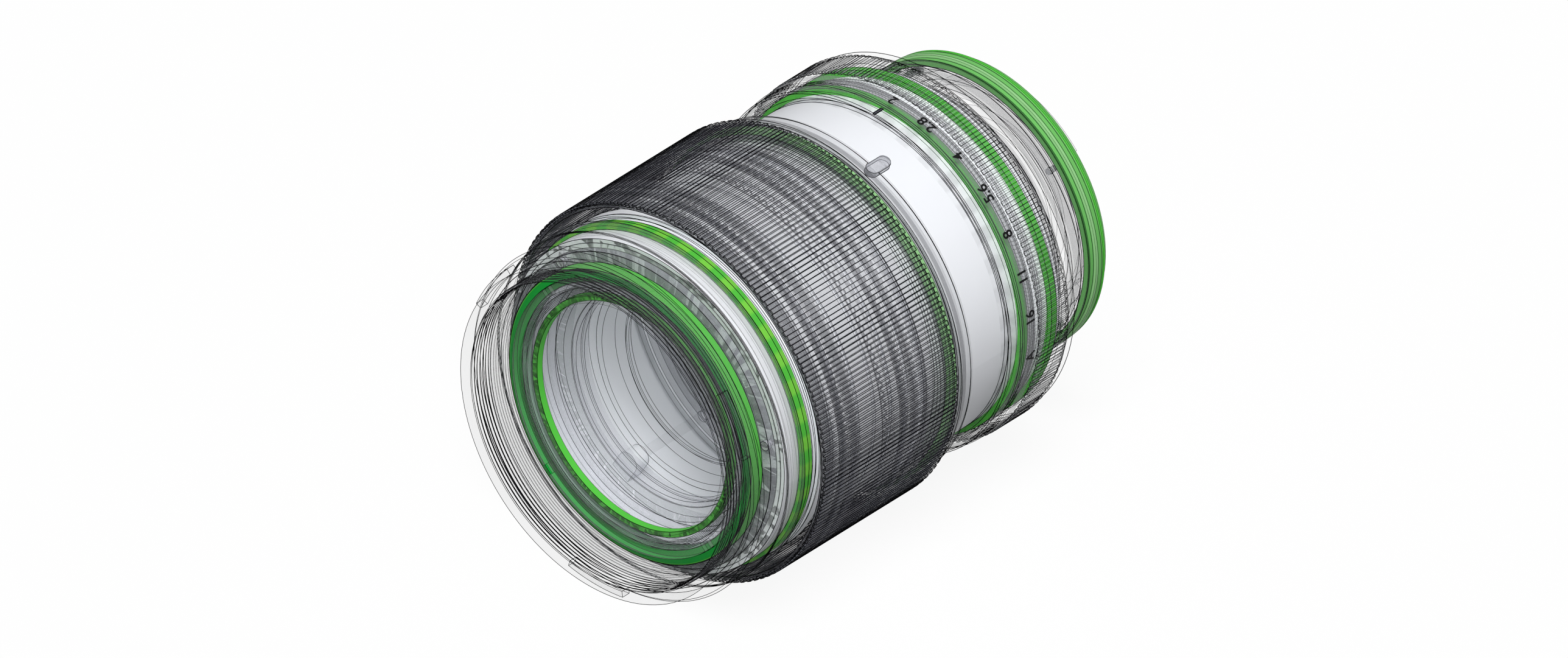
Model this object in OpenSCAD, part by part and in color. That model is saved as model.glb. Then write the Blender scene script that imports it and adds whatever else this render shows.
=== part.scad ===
// Short telephoto prime lens, 90 mm f/2 class, with a focus ring and an aperture ring.
// The lens axis lies along Y with the front towards -Y and the index mark at the top, +Z.
// The origin is the centre of the mount flange, the plane that meets the camera.
// Inside the modules a station is a distance behind the front rim, and a clock angle runs from the
// top towards +X. Lens surfaces have a positive radius where their centre lies behind them.

/* [Front rim and filter thread] */
// Wall of the front rim outside the filter thread
rim_wall = 2.4; // [2.2:0.1:3.2]
// Length of the front rim
rim_l = 5.3; // [5.2:0.1:6.5]
// Crest radius of the filter thread, 62 mm size
thread_r = 30.6; // [29.8:0.1:30.7]
// Depth of the filter thread
thread_depth = 0.4; // [0.2:0.05:0.5]
// Pitch of the filter thread
thread_pitch = 0.75; // [0.5:0.25:0.75]
// Length of the threaded stretch
thread_l = 4.9; // [3:0.1:5]
// Wall of the filter ring's spigot round the cell flange
filter_spigot_wall = 0.9; // [0.7:0.1:1.1]
// Height of the name ring's seat over the filter thread
name_seat_h = 0.5; // [0.4:0.1:0.6]
// Length of the bare name ring
name_l = 3.5; // [3:0.1:4.5]
// Number of light grooves in the name ring
name_grooves = 7; // [4:1:9]
// Depth of a light groove
name_groove_depth = 0.15; // [0.1:0.05:0.2]
// Height of the hood lugs over the rim
hood_lug_h = 1.2; // [0.6:0.1:1.6]
// Station of the front face of the hood lugs
hood_lug_s = 2.4; // [1.5:0.1:3]
// Length of the hood lugs
hood_lug_l = 1.8; // [1:0.1:2.2]
// Angle that one hood lug spans
hood_lug_angle = 22; // [12:1:40]
// Number of hood lugs
hood_lugs = 3; // [2:1:4]
// Clock angle of the first hood lug
hood_lug_first = 60; // [0:5:90]

/* [Front barrel] */
// Wall of the front barrel round the tube
barrel_wall = 2.0; // [1.6:0.1:3.0]
// Length of the front barrel
front_barrel_l = 12.0; // [11.6:0.1:13]
// Edge chamfer of the barrels
barrel_chamfer = 0.5; // [0.2:0.1:0.8]
// Distance of the trim line from the front barrel's front face
trim_line_s = 6.8; // [3:0.1:8]
// Width of a trim line
trim_line_w = 0.3; // [0.1:0.05:0.6]
// Depth of a trim line
trim_line_depth = 0.2; // [0.1:0.05:0.4]

/* [Main tube] */
// Outer radius of the tube, on which both rings run
tube_r = 33.0; // [32.9:0.1:33.4]
// Wall of the tube
tube_wall = 1.6; // [1.4:0.1:1.8]
// From the front rim to the front face of the tube
tube_s = 13.4; // [13.3:0.1:14]
// Thickness of the tube's front flange
tube_flange_t = 2.0; // [1.5:0.1:2.6]
// Gap round the cell in that flange
cell_gap = 0.3; // [0.2:0.1:0.6]
// Height of the inner lip that the iris base rests against
iris_lip_h = 1.3; // [1.2:0.1:1.4]
// Height of the bands that carry the focus ring
focus_band_h = 1.0; // [0.8:0.1:1.2]
// Length of each band
focus_band_l = 2.0; // [1:0.1:3]
// Depth of the grooves that locate the seals
seal_groove = 0.2; // [0.1:0.05:0.3]
// From the focus ring's rear band to its rear bore
focus_rear_step = 1.2; // [0.9:0.1:1.6]
// Number of grease grooves round the tube under the focus ring
grease_grooves = 5; // [2:1:6]
// Width of a grease groove
grease_groove_w = 0.8; // [0.5:0.1:1.2]
// Depth of a grease groove
grease_groove_depth = 0.4; // [0.2:0.1:0.6]

/* [Focus ring] */
// Height of the ribs of the focus grip
rib_h = 0.6; // [0.4:0.1:1.5]
// Thickness of the grip under its ribs
grip_base_t = 0.5; // [0.3:0.1:0.8]
// Number of ribs round the focus grip
ribs = 126; // [60:1:160]
// Wall of the focus sleeve under the grip
focus_sleeve_wall = 1.6; // [1.5:0.1:2.2]
// Length of the focus ring
focus_l = 38.1; // [34:0.1:42]
// Gap between the front barrel and the focus ring
focus_gap = 1.6; // [1.2:0.1:2.2]
// Length of the lip in front of the grip
focus_front_lip_l = 0.6; // [0.4:0.1:1.5]
// Length of the smooth lip behind the grip
focus_rear_lip_l = 2.1; // [1.5:0.1:3]
// Height of the rear lip over the sleeve
focus_rear_lip_h = 0.3; // [0.1:0.1:0.8]
// Height of the space between the tube and the focus sleeve
focus_relief_h = 1.8; // [1.5:0.1:2.2]
// Gap between the focus sleeve and its rear seal
focus_seal_gap = 0.3; // [0.2:0.1:0.4]
// Length of that rear bore
focus_rear_bore_l = 3.7; // [3.5:0.1:4.5]
// Gap under the rib that stops the sleeve at the front band
focus_stop_gap = 0.4; // [0.3:0.1:0.7]
// From the focus ring's front face to the tube's front band
focus_band_place = 3.1; // [2.8:0.1:3.6]

/* [Fixed barrel] */
// Wall of the fixed barrel between its seats
fixed_wall = 1.6; // [1.4:0.1:2.2]
// Height of the bands at its two ends
fixed_band_h = 0.35; // [0.2:0.05:0.6]
// Length of the fixed barrel
fixed_l = 16.3; // [13:0.1:20]
// Length of its front band
fixed_front_band_l = 3.3; // [2:0.1:4]
// Length of its rear band, which carries the index mark
fixed_rear_band_l = 2.9; // [2.6:0.1:4]
// Height over the tube of the spigot under the focus ring
fixed_spigot_h = 1.6; // [1.3:0.1:1.8]
// Length of that spigot
fixed_spigot_l = 3.4; // [3.2:0.1:3.4]
// Depth of the space under the fixed barrel
fixed_relief_h = 0.9; // [0.4:0.1:1.1]
// Length of each seat on the tube
fixed_seat_l = 1.2; // [1:0.1:4]
// Width of the index line
index_w = 0.5; // [0.3:0.1:1]
// Length of the index line
index_l = 2.3; // [1:0.1:2.5]
// Depth of the index line
index_depth = 0.15; // [0.1:0.05:0.3]
// Width of the barrel key
key_w = 2.5; // [1.5:0.1:4]
// Length of the barrel key
key_l = 5.5; // [4:0.1:8]
// Height of the barrel key
key_h = 1.2; // [0.8:0.1:1.4]
// Depth of the key's pocket below the barrel's surface
key_depth = 0.9; // [0.5:0.1:1.0]
// Clock angle of the barrel key
key_angle = 15.5; // [10:0.5:60]
// From the fixed barrel's front face to the key
key_place = 1.7; // [1.0:0.1:4]

/* [Aperture ring] */
// Wall of the aperture ring under its numbers
aperture_wall = 1.7; // [1.5:0.1:2.1]
// Height of the flutes
flute_h = 0.45; // [0.25:0.05:0.9]
// Wall of the aperture ring under its flutes
flute_wall = 1.55; // [1.4:0.05:1.7]
// Number of flutes
flutes = 137; // [60:1:160]
// Length of the aperture ring
aperture_l = 12.1; // [12.0:0.1:12.6]
// Length of the number band
number_band_l = 4.2; // [3:0.1:4.5]
// Length of the fluted band
flute_l = 7.3; // [6:0.1:7.4]
// Height of the space between the tube and the aperture ring
aperture_relief_h = 1.5; // [1.4:0.1:1.8]
// Length of each inner bearing rib
aperture_rib_l = 1.0; // [0.6:0.1:1.2]
// From the ring's front face to its front bearing rib
aperture_rib_place = 3.6; // [3.5:0.1:3.8]
// Height of the click track over the tube
click_track_h = 0.6; // [0.5:0.05:0.8]
// Length of the click track
click_track_l = 2.4; // [2:0.1:2.6]
// From the aperture ring's front face to the middle of its click track
click_track_s = 6.2; // [5.9:0.1:6.4]
// Depth of a click notch
click_notch = 0.3; // [0.2:0.05:0.4]
// Angle from one click to the next, a third of a stop
click_angle = 4.4; // [3.6:0.1:4.8]
// Number of clicks from the widest to the smallest aperture
clicks = 18; // [12:1:18]
// Number of the click at which the camera sets the aperture
automatic_click = 21; // [19:1:22]
// Radius of the click ball
click_ball_r = 0.8; // [0.6:0.05:0.85]
// Length of the click spring
click_spring_l = 3.9; // [2.5:0.1:4.5]
// Gap between a ring and the barrels on either side of it
ring_gap = 0.3; // [0.2:0.05:0.5]

/* [Seals] */
// Width of the front cover seal across its face
cover_seal_w = 2.6; // [2.0:0.1:2.7]
// Gap between the cover seal and the cell's collar
cover_seal_gap = 0.1; // [0.1:0.1:0.6]
// Length of the front cover seal at its outer edge
cover_seal_l = 3.0; // [2.5:0.1:3.4]
// Slope of the cover seal's front face
cover_seal_rise = 0.5; // [0.2:0.1:0.9]
// Width of the front element seal across its face
element_seal_w = 1.1; // [0.9:0.1:1.3]
// Length of the front element seal
element_seal_l = 1.4; // [1:0.1:1.8]
// Height of the focus ring's front seal over the tube
focus_front_seal_h = 0.7; // [0.4:0.05:0.75]
// Length of the focus ring's front seal
focus_front_seal_l = 2.6; // [2:0.1:2.7]
// Height of the focus ring's rear seal over its spigot
focus_rear_seal_h = 0.9; // [0.5:0.05:0.9]
// Length of the focus ring's rear seal
focus_rear_seal_l = 1.8; // [1.5:0.1:2.6]
// Height of the two aperture ring seals over the tube
aperture_seal_h = 1.2; // [0.8:0.05:1.2]
// Length of each aperture ring seal
aperture_seal_l = 1.4; // [1.2:0.1:1.5]
// From the aperture ring's front face to its front seal
aperture_front_seal_s = 2.0; // [1.6:0.1:2.1]
// From the aperture ring's rear face to its rear seal
aperture_rear_seal_s = 0.9; // [0.6:0.1:1.2]
// Largest height of the mount seal over the mount flange
mount_seal_h = 1.8; // [1.5:0.05:2.1]
// Step down from there to the seal's front band
mount_seal_step = 0.4; // [0.3:0.05:0.6]
// Height of the mount seal's lip at the flange's face
mount_seal_lip_h = 0.6; // [0.4:0.05:0.9]
// Length of the mount seal
mount_seal_l = 5.6; // [5:0.1:6]
// Length of the mount seal's front band
mount_seal_front_l = 1.55; // [1.2:0.05:1.8]
// Length of its highest band
mount_seal_band_l = 1.6; // [1.2:0.1:1.8]
// Length of the groove behind that band
mount_seal_groove_l = 0.45; // [0.3:0.05:0.6]

/* [Front cell and its glass] */
// Wall of the cell's front collar
cell_collar_wall = 1.05; // [0.85:0.05:1.15]
// Length of the cell's front collar
cell_collar_l = 2.6; // [2.2:0.1:2.8]
// Width of the cell flange outside the cover seal
cell_flange_w = 2.0; // [1.9:0.1:2.1]
// Thickness of the cell flange
cell_flange_t = 1.6; // [1.4:0.1:1.8]
// Height of the cell over its collar, behind the flange
cell_shoulder_h = 1.0; // [0.6:0.1:1.1]
// Wall of the cell's slim rear part
cell_rear_wall = 1.65; // [1.25:0.05:2.45]
// From the cell flange's rear face to the start of the taper
cell_step_l = 6.0; // [5:0.1:6.5]
// Length of the taper
cell_taper_l = 4.0; // [3:0.1:4]
// From the cell flange's rear face to the cell's rear end
cell_tail_l = 30.2; // [30.2:0.1:30.4]
// Wall of the front retaining ring's flange
retainer_t = 1.4; // [1.2:0.1:1.6]
// Reach of the retaining ring's brim over the cover seal
retainer_brim_w = 1.2; // [0.8:0.1:1.4]
// Number of light grooves in the retaining ring's face
retainer_grooves = 4; // [2:1:4]
// Distance from one of those grooves to the next
retainer_groove_pitch = 0.5; // [0.4:0.05:0.55]
// Width of one of those grooves
retainer_groove_w = 0.25; // [0.15:0.05:0.3]
// Depth of those grooves
retainer_groove_depth = 0.3; // [0.1:0.1:0.5]
// Wall of the retaining ring outside the element seal
retainer_tail_w = 1.35; // [1.25:0.05:1.5]
// Width of the retaining ring's key slots
key_slot_w = 2.0; // [1.2:0.1:3]
// Depth of the retaining ring's key slots
key_slot_depth = 0.8; // [0.4:0.1:1.0]
// Radius of the front element
glass_1_r = 25.3; // [25.2:0.05:25.3]
// Front surface radius of the front element
glass_1_front = 85; // [75:1:120]
// Centre thickness of the front element
glass_1_t = 7.1; // [6.5:0.1:7.2]
// Length of the spacer behind the front element
spacer_l = 2.3; // [1.5:0.1:2.4]
// Width of the spacer across its face
spacer_w = 1.9; // [1.2:0.1:2.5]
// Radius of the second element
glass_2_r = 21.5; // [21:0.1:21.7]
// Length of the second element's bore
glass_2_bore_l = 6.7; // [6.6:0.1:7.0]
// Front surface radius of the second element
glass_2_front = 52; // [50:1:60]
// Rear surface radius of the second element
glass_2_rear = 140; // [120:1:200]
// Centre thickness of the second element
glass_2_t = 6.8; // [6.2:0.1:6.8]
// Height of the step that the second element's bore ends at
glass_2_lip_h = 1.3; // [1.1:0.1:1.9]
// Radius of the third and fourth elements
glass_3_r = 18.4; // [18:0.1:18.5]
// Gap between the second and third elements along the axis
air_2_3 = 2.6; // [2.2:0.1:2.8]
// Front surface radius of the third element
glass_3_front = 48; // [46:1:56]
// Radius of the cemented surface, concave to the front
glass_3_rear = -75; // [-90:1:-70]
// Centre thickness of the third element
glass_3_t = 7.0; // [6.6:0.1:7.2]
// Centre thickness of the fourth element
glass_4_t = 2.2; // [1.6:0.1:2.4]
// Rear surface radius of the fourth element
glass_4_rear = 45; // [44:1:60]
// Radius of the fifth element
glass_5_r = 16.5; // [16:0.1:16.7]
// Gap between the fourth and fifth elements along the axis
air_4_5 = 2.4; // [2.3:0.1:2.5]
// Front surface radius of the fifth element
glass_5_front = 60; // [55:1:80]
// Rear surface radius of the fifth element
glass_5_rear = 30; // [29.5:0.5:40]
// Centre thickness of the fifth element
glass_5_t = 2.2; // [1.8:0.1:2.3]
// Length of the fifth element's holder
holder_l = 5.8; // [5.7:0.1:5.8]

/* [Iris] */
// From the tube's front face to the iris base
iris_l = 34.1; // [34:0.1:35]
// Clear radius of the iris
iris_bore_r = 13.2; // [13:0.1:13.3]
// Thickness of the iris base
iris_base_t = 2.0; // [1.6:0.1:2.4]
// Depth of the iris cover
iris_cover_l = 3.5; // [3.4:0.1:3.5]
// Wall of the iris cover
iris_cover_t = 0.8; // [0.6:0.1:0.9]
// Thickness of the drive ring
drive_ring_t = 1.0; // [0.8:0.1:1.0]
// Inner radius of the drive ring
drive_ring_bore_r = 22.6; // [22.4:0.1:22.8]
// Number of iris blades
blades = 7; // [5:1:7]
// Thickness of a blade
blade_t = 0.1; // [0.08:0.01:0.12]
// Distance from one blade's layer to the next
blade_pitch = 0.16; // [0.14:0.01:0.16]
// Inner radius of a blade
blade_inner_r = 13.5; // [13.4:0.05:13.6]
// Outer radius of a blade
blade_outer_r = 19.6; // [19.5:0.05:19.65]
// Angle that a blade spans beyond its pivot
blade_span = 118; // [115:1:135]
// Radius of the circle of blade pivots
pivot_r = 20.4; // [20.4:0.1:20.6]
// Distance from a blade's pivot to its drive pin
blade_lever = 3.8; // [3.6:0.1:3.9]
// How many times narrower the smallest aperture is than the widest
aperture_ratio = 8; // [5.6:0.1:11]
// Radius of the blade pins
blade_pin_r = 0.5; // [0.4:0.05:0.55]
// Module of the iris gears
gear_module = 0.3; // [0.3:0.05:0.3]
// Number of teeth that a full drive ring would have
ring_teeth = 174; // [174:1:174]
// Number of teeth on the drive ring's sector
sector_teeth = 13; // [9:2:15]
// Number of teeth on the iris pinion
pinion_teeth = 10; // [10:1:10]
// Clock angle of the iris motor
motor_angle = 75; // [55:1:100]
// Radius of the iris motor
iris_motor_r = 2.4; // [2:0.1:2.4]
// Length of the iris motor
iris_motor_l = 7.5; // [5:0.1:9]

/* [Focusing group] */
// From the iris base to the front of the focus group
focus_group_s = 7.4; // [5:0.1:8]
// Travel of the focus group towards the rear
focus_travel = 11; // [8:0.5:11]
// Radius of the sixth and seventh elements
glass_6_r = 13.5; // [13:0.1:13.6]
// Front surface radius of the sixth element
glass_6_front = 60; // [50:1:80]
// Radius of the cemented surface of the focus group
glass_6_rear = -40; // [-60:1:-40]
// Centre thickness of the sixth element
glass_6_t = 4.5; // [4.4:0.1:5]
// Centre thickness of the seventh element
glass_7_t = 1.6; // [1.2:0.1:2]
// Rear surface radius of the seventh element
glass_7_rear = 90; // [70:1:200]
// Length of the focus group's hub
hub_l = 7.1; // [6.6:0.1:7.6]
// Wall of the hub
hub_wall = 1.6; // [1:0.1:2]
// Radius of the guide rods
rod_r = 1.0; // [0.8:0.05:1.1]
// Distance of the guide rods' middle from the tube's bore
rod_depth = 3.6; // [3.4:0.1:3.7]
// Clock angle of the second guide rod
rod_angle = 206.5; // [200:0.5:212]
// From the tube's front face to the bosses that hold the rods
rod_boss_s = 10.6; // [10.2:0.1:12]
// Length of those bosses
rod_boss_l = 3.3; // [2:0.1:4]
// Outer radius of those bosses
rod_boss_r = 2.1; // [1.6:0.1:2.4]
// Running clearance of the sliding sleeve on its rod
rod_clearance = 0.04; // [0.02:0.01:0.1]
// Length of the sliding sleeve
sleeve_l = 10; // [8:0.1:11]
// Outer radius of the sliding sleeve
sleeve_r = 2.3; // [1.9:0.1:2.6]
// Thickness of the focus group's arms along the axis
arm_t = 2.5; // [1.5:0.1:3]
// Width of the arms to the coils
arm_w = 6; // [4:0.1:8]
// Number of linear motors
motors = 4; // [4:1:4]
// Depth of the linear motors below the tube's bore
motor_depth = 8.0; // [7.8:0.1:8.2]
// Thickness of the yoke plates
plate_t = 1.0; // [0.8:0.1:1.2]
// Width of the inner plates
plate_w = 8; // [6:0.1:8.4]
// Width of the yokes and magnets
yoke_w = 10; // [8:0.1:10.4]
// Thickness of the magnets
magnet_t = 1.8; // [1.2:0.1:2]
// Gap between a coil and the iron and magnets round it
coil_gap = 0.4; // [0.3:0.05:0.5]
// Thickness of a coil's winding
coil_t = 1.1; // [0.8:0.1:1.2]
// Length of a coil
coil_l = 9; // [6:0.1:10]

/* [Rear cell and its glass] */
// From the rear cell's seat to the tube's rear end
rear_seat_l = 5.0; // [4:0.1:6]
// Depth of that seat into the tube's wall
rear_seat_h = 0.6; // [0.4:0.1:0.7]
// Thickness of the rear cell's flange
rear_flange_t = 2.0; // [1.5:0.1:2.5]
// Wall of the rear cell
rear_cell_wall = 2.45; // [1.85:0.05:2.95]
// Length of the rear cell in front of its flange
rear_cell_front_l = 5.5; // [5.4:0.1:5.6]
// Length of the rear cell behind its flange's front face
rear_cell_rear_l = 17.3; // [17:0.1:17.5]
// Radius of the eighth, ninth and tenth elements
glass_8_r = 15.5; // [15:0.1:15.6]
// Height of the lip between the elements of the rear cell
rear_lip_h = 1.1; // [0.9:0.1:1.7]
// Length of that lip
rear_lip_l = 2.75; // [2.6:0.05:2.8]
// Front surface radius of the eighth element
glass_8_front = 45; // [40:1:60]
// Rear surface radius of the eighth element
glass_8_rear = -120; // [-200:1:-100]
// Centre thickness of the eighth element
glass_8_t = 5.2; // [4.8:0.1:5.4]
// Front surface radius of the ninth element
glass_9_front = -60; // [-90:1:-55]
// Centre thickness of the ninth element
glass_9_t = 1.6; // [1.2:0.1:1.8]
// Radius of the cemented surface of the rear pair
glass_9_rear = 28; // [28:1:34]
// Centre thickness of the tenth element
glass_10_t = 7.5; // [7.2:0.1:7.6]
// Rear surface radius of the tenth element
glass_10_rear = -80; // [-120:1:-75]
// Radius of the eleventh element
glass_11_r = 14.2; // [13.8:0.1:14.3]
// Height of the step that holds the eleventh element at its front
baffle_lip_h = 0.8; // [0.7:0.1:1.2]
// Front surface radius of the eleventh element
glass_11_front = 70; // [60:1:90]
// Centre thickness of the eleventh element
glass_11_t = 4.6; // [4:0.1:5]
// Rear surface radius of the eleventh element
glass_11_rear = -200; // [-300:10:-150]
// Distance that the rear baffle reaches behind the mount flange
baffle_reach = 1.0; // [0.5:0.1:2]
// Gap between the rear baffle and the contact block
baffle_gap = 0.3; // [0.2:0.1:0.7]

/* [Rear barrel and mount] */
// Wall of the rear barrel's rim round the tube
rear_rim_wall = 2.85; // [2.55:0.05:3.15]
// Height of the rear barrel's neck over the mount flange
neck_h = 1.7; // [1.6:0.1:2.1]
// Length of the rear barrel
rear_l = 16.1; // [15.9:0.1:17]
// Length of the rear barrel's full-size rim
rear_rim_l = 1.6; // [1:0.1:2]
// Step down from the rim to the cone
cone_step = 1.1; // [0.9:0.1:1.7]
// Height over the neck at which the cone ends
cone_end_h = 1.4; // [1.0:0.1:1.8]
// From the rear barrel's front face to the start of its cone
cone_start_s = 2.7; // [2.2:0.1:3]
// From the rear barrel's front face to the end of its cone
cone_end_s = 6.3; // [5.6:0.1:6.6]
// From the rear barrel's front face to its neck
neck_s = 8.2; // [7.6:0.1:9]
// From the start of the neck to its step
neck_line_s = 2.6; // [2.2:0.1:3]
// Length of the rear barrel's shoulder on the tube
shoulder_l = 2.2; // [1.9:0.1:2.6]
// Room in front of the main board
board_room = 1.0; // [0.6:0.1:1.4]
// Wall of the rear barrel at the board and the neck
rear_wall = 1.8; // [1.6:0.1:1.9]
// Thickness of the rear barrel's inner flange
rear_inner_flange_t = 3.0; // [2.6:0.1:3]
// Gap round the contact block's foot in that flange
contact_foot_gap = 0.4; // [0.2:0.1:0.6]
// Radius of the mount flange
flange_r = 27.5; // [27.2:0.1:27.6]
// Thickness of the mount flange
flange_t = 2.6; // [2.2:0.1:3]
// Width of the flange's contact face
contact_face_w = 2.8; // [2.7:0.1:3.0]
// Depth of the relief inside the contact face
flange_relief = 0.3; // [0.2:0.1:0.5]
// Outer radius of the bayonet tube
bayonet_r = 21.9; // [21.8:0.1:22.1]
// Wall of the bayonet tube
bayonet_wall = 1.2; // [1:0.1:1.3]
// Length of the bayonet tube behind the flange
bayonet_l = 4.7; // [4.2:0.1:5.4]
// Height of the bayonet lugs over the tube
lug_h = 2.4; // [1.7:0.1:2.5]
// From the flange to the front of the lugs
lug_s = 1.9; // [1.4:0.1:2.4]
// Thickness of the lugs
lug_t = 1.3; // [1:0.1:1.6]
// Angle that one lug spans
lug_angle = 48; // [30:1:60]
// Number of bayonet lugs
lugs = 3; // [3:1:4]
// Clock angle of the first lug's middle
lug_first = 20; // [0:1:60]
// Distance of the mount screws' middle from the flange's edge
screw_edge = 1.5; // [1.3:0.1:1.6]
// Radius of the mount screws' heads
screw_head_r = 1.05; // [0.9:0.05:1.1]
// Depth of the heads' seats in the flange
screw_seat = 0.9; // [0.7:0.1:1.1]
// Radius of the mount screws' shanks
screw_r = 0.6; // [0.5:0.05:0.7]
// Length of the mount screws' shanks
screw_l = 4.0; // [3.4:0.1:4.4]
// Number of mount screws
mount_screw_count = 4; // [4:1:4]
// Radius of the hole that takes the camera's locking pin
lock_hole_r = 0.9; // [0.8:0.05:1]
// Depth of that hole
lock_hole_l = 1.6; // [1.2:0.1:2.2]
// Clock angle of the locking hole
lock_angle = 95; // [85:1:110]
// Gap between the contact block and the bayonet tube
contact_gap = 0.3; // [0.2:0.05:0.5]
// Radial width of the contact block
contact_block_w = 2.7; // [2.3:0.1:2.7]
// Angle that the contact block spans
contact_span = 80; // [76:1:100]
// Distance that the contact block reaches behind the flange
contact_reach = 3.4; // [2.5:0.1:4]
// Reach of the contact block's foot outside the block
contact_foot_w = 3.2; // [2.6:0.1:3.3]
// Thickness of the contact block's foot
contact_foot_t = 1.5; // [1.2:0.1:1.8]
// Number of contacts
contacts = 10; // [6:1:10]
// Angle between contacts
contact_angle = 7; // [6:0.5:7]
// Radius of a contact
contact_r = 0.65; // [0.4:0.05:0.8]
// Height of a contact above the block
contact_h = 0.3; // [0.1:0.1:0.5]

/* [Small screws and electronics] */
// Number of screws that hold the front cell
cell_screws = 3; // [3:1:6]
// Radius of the cell screws' heads
cell_head_r = 0.9; // [0.7:0.05:0.9]
// Depth of the cell screws' heads
cell_head_t = 0.7; // [0.5:0.1:0.9]
// Radius of the cell screws' shanks
cell_screw_r = 0.5; // [0.4:0.05:0.6]
// Clock angle of the first cell screw
cell_screw_first = 75; // [60:1:90]
// Thickness of the focus sensor board
sensor_board_t = 1.2; // [1.1:0.1:1.4]
// Length of the focus sensor board
sensor_board_l = 5.5; // [4:0.1:8]
// Angle that the focus sensor board spans
sensor_board_span = 26; // [20:1:40]
// Clock angle of the board's middle
sensor_board_angle = 39; // [30:1:60]
// Number of chips on the focus sensor board
chips = 5; // [2:1:6]
// Height of a chip
chip_h = 0.7; // [0.4:0.1:1]
// Thickness of the main board
main_board_t = 1.0; // [0.8:0.1:1.6]
// Width of the main board across its face
main_board_w = 7.05; // [6:0.1:8]
// Thickness of the flex cable
flex_t = 0.3; // [0.2:0.05:0.4]
// Angle that the flex cable spans
flex_span = 26; // [10:1:40]

/* [Hidden] */

// Radial clearance of a piece seated in another, and of a ring that runs on a tube
fit = 0.05;
running = 0.08;
// Thickness of the cement between two bonded elements
cement = 0.02;
// Width of the flat rim round a hollow lens surface
land = 0.3;
// Extra length of a cutting solid past the face that it cuts
over = 0.5;
$fn = 120;
// Facets of the lens surfaces and of a bore behind many ribs
fine = 240;

// Radii of the outer pieces, from the tube outwards
tube_bore_r = tube_r - tube_wall;
focus_band_r = tube_r + focus_band_h;
focus_relief_r = tube_r + focus_relief_h;
focus_sleeve_r = focus_relief_r + focus_sleeve_wall;
rib_floor_r = focus_sleeve_r + grip_base_t;
focus_r = rib_floor_r + rib_h;
focus_stop_r = tube_r + focus_stop_gap;
focus_front_seal_r = tube_r + focus_front_seal_h;
fixed_spigot_r = tube_r + fixed_spigot_h;
focus_rear_seal_r = fixed_spigot_r + focus_rear_seal_h;
focus_rear_bore_r = focus_rear_seal_r + focus_seal_gap;
fixed_relief_r = tube_r + fixed_relief_h;
fixed_r = fixed_relief_r + fixed_wall;
aperture_bore_r = tube_r + aperture_relief_h;
aperture_r = aperture_bore_r + aperture_wall;
flute_floor_r = aperture_bore_r + flute_wall;
flute_r = flute_floor_r + flute_h;
click_track_r = tube_r + click_track_h;
aperture_seal_r = tube_r + aperture_seal_h;
barrel_r = tube_r + barrel_wall;
rear_r = tube_r + fit + rear_rim_wall;
cone_start_r = rear_r - cone_step;

// Radii of the front cell and of what stands round it
cell_collar_r = glass_1_r + fit + cell_collar_wall;
cell_r = cell_collar_r + cell_shoulder_h;
cell_rear_r = glass_2_r + fit + cell_rear_wall;
cell_clear_r = glass_2_r - glass_2_lip_h;
tube_flange_bore_r = cell_r + cell_gap;
spacer_bore_r = glass_1_r - spacer_w;
element_seal_r = glass_1_r - retainer_tail_w - fit;
element_seal_bore_r = element_seal_r - element_seal_w;
front_bore_r = element_seal_bore_r + 2 * fit;
cover_seal_bore_r = cell_collar_r + cover_seal_gap;
cover_seal_r = cover_seal_bore_r + cover_seal_w;
cover_bore_r = cover_seal_r + 2 * fit;
cell_flange_r = cover_bore_r + cell_flange_w;
retainer_brim_r = cell_collar_r + retainer_brim_w;
filter_spigot_r = cell_flange_r + 2 * fit + filter_spigot_wall;
name_bore_r = thread_r + name_seat_h;
rim_r = thread_r + rim_wall;
hood_lug_r = rim_r + hood_lug_h;

// Radii inside the tube
iris_lip_r = tube_bore_r - iris_lip_h;
iris_cover_r = iris_lip_r - fit;
rod_place_r = tube_bore_r - rod_depth;
plate_place_r = tube_bore_r - motor_depth;
rear_cell_r = glass_8_r + fit + rear_cell_wall;
rear_lip_r = glass_8_r - rear_lip_h;
baffle_clear_r = glass_11_r - baffle_lip_h;

// Radii of the mount, from its flange and bayonet tube
neck_r = flange_r + neck_h;
cone_end_r = neck_r + cone_end_h;
contact_face_r = flange_r - contact_face_w;
screw_circle_r = flange_r - screw_edge;
lug_r = bayonet_r + lug_h;
contact_block_r = bayonet_r - bayonet_wall - contact_gap;
contact_foot_r = contact_block_r + contact_foot_w;
rear_inner_bore_r = contact_foot_r + contact_foot_gap;
baffle_r = contact_block_r - contact_block_w - baffle_gap;
mount_seal_r = flange_r + mount_seal_h;
mount_seal_front_r = mount_seal_r - mount_seal_step;
mount_seal_lip_r = flange_r + mount_seal_lip_h;

// Stations of the outer pieces, front to rear
front_barrel_e = rim_l + front_barrel_l;
focus_s = front_barrel_e + focus_gap;
focus_e = focus_s + focus_l;
fixed_s = focus_e + ring_gap;
fixed_e = fixed_s + fixed_l;
aperture_s = fixed_e + ring_gap;
aperture_e = aperture_s + aperture_l;
rear_s = aperture_e + ring_gap;
rear_e = rear_s + rear_l;
overall_l = rear_e + flange_t;

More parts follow.
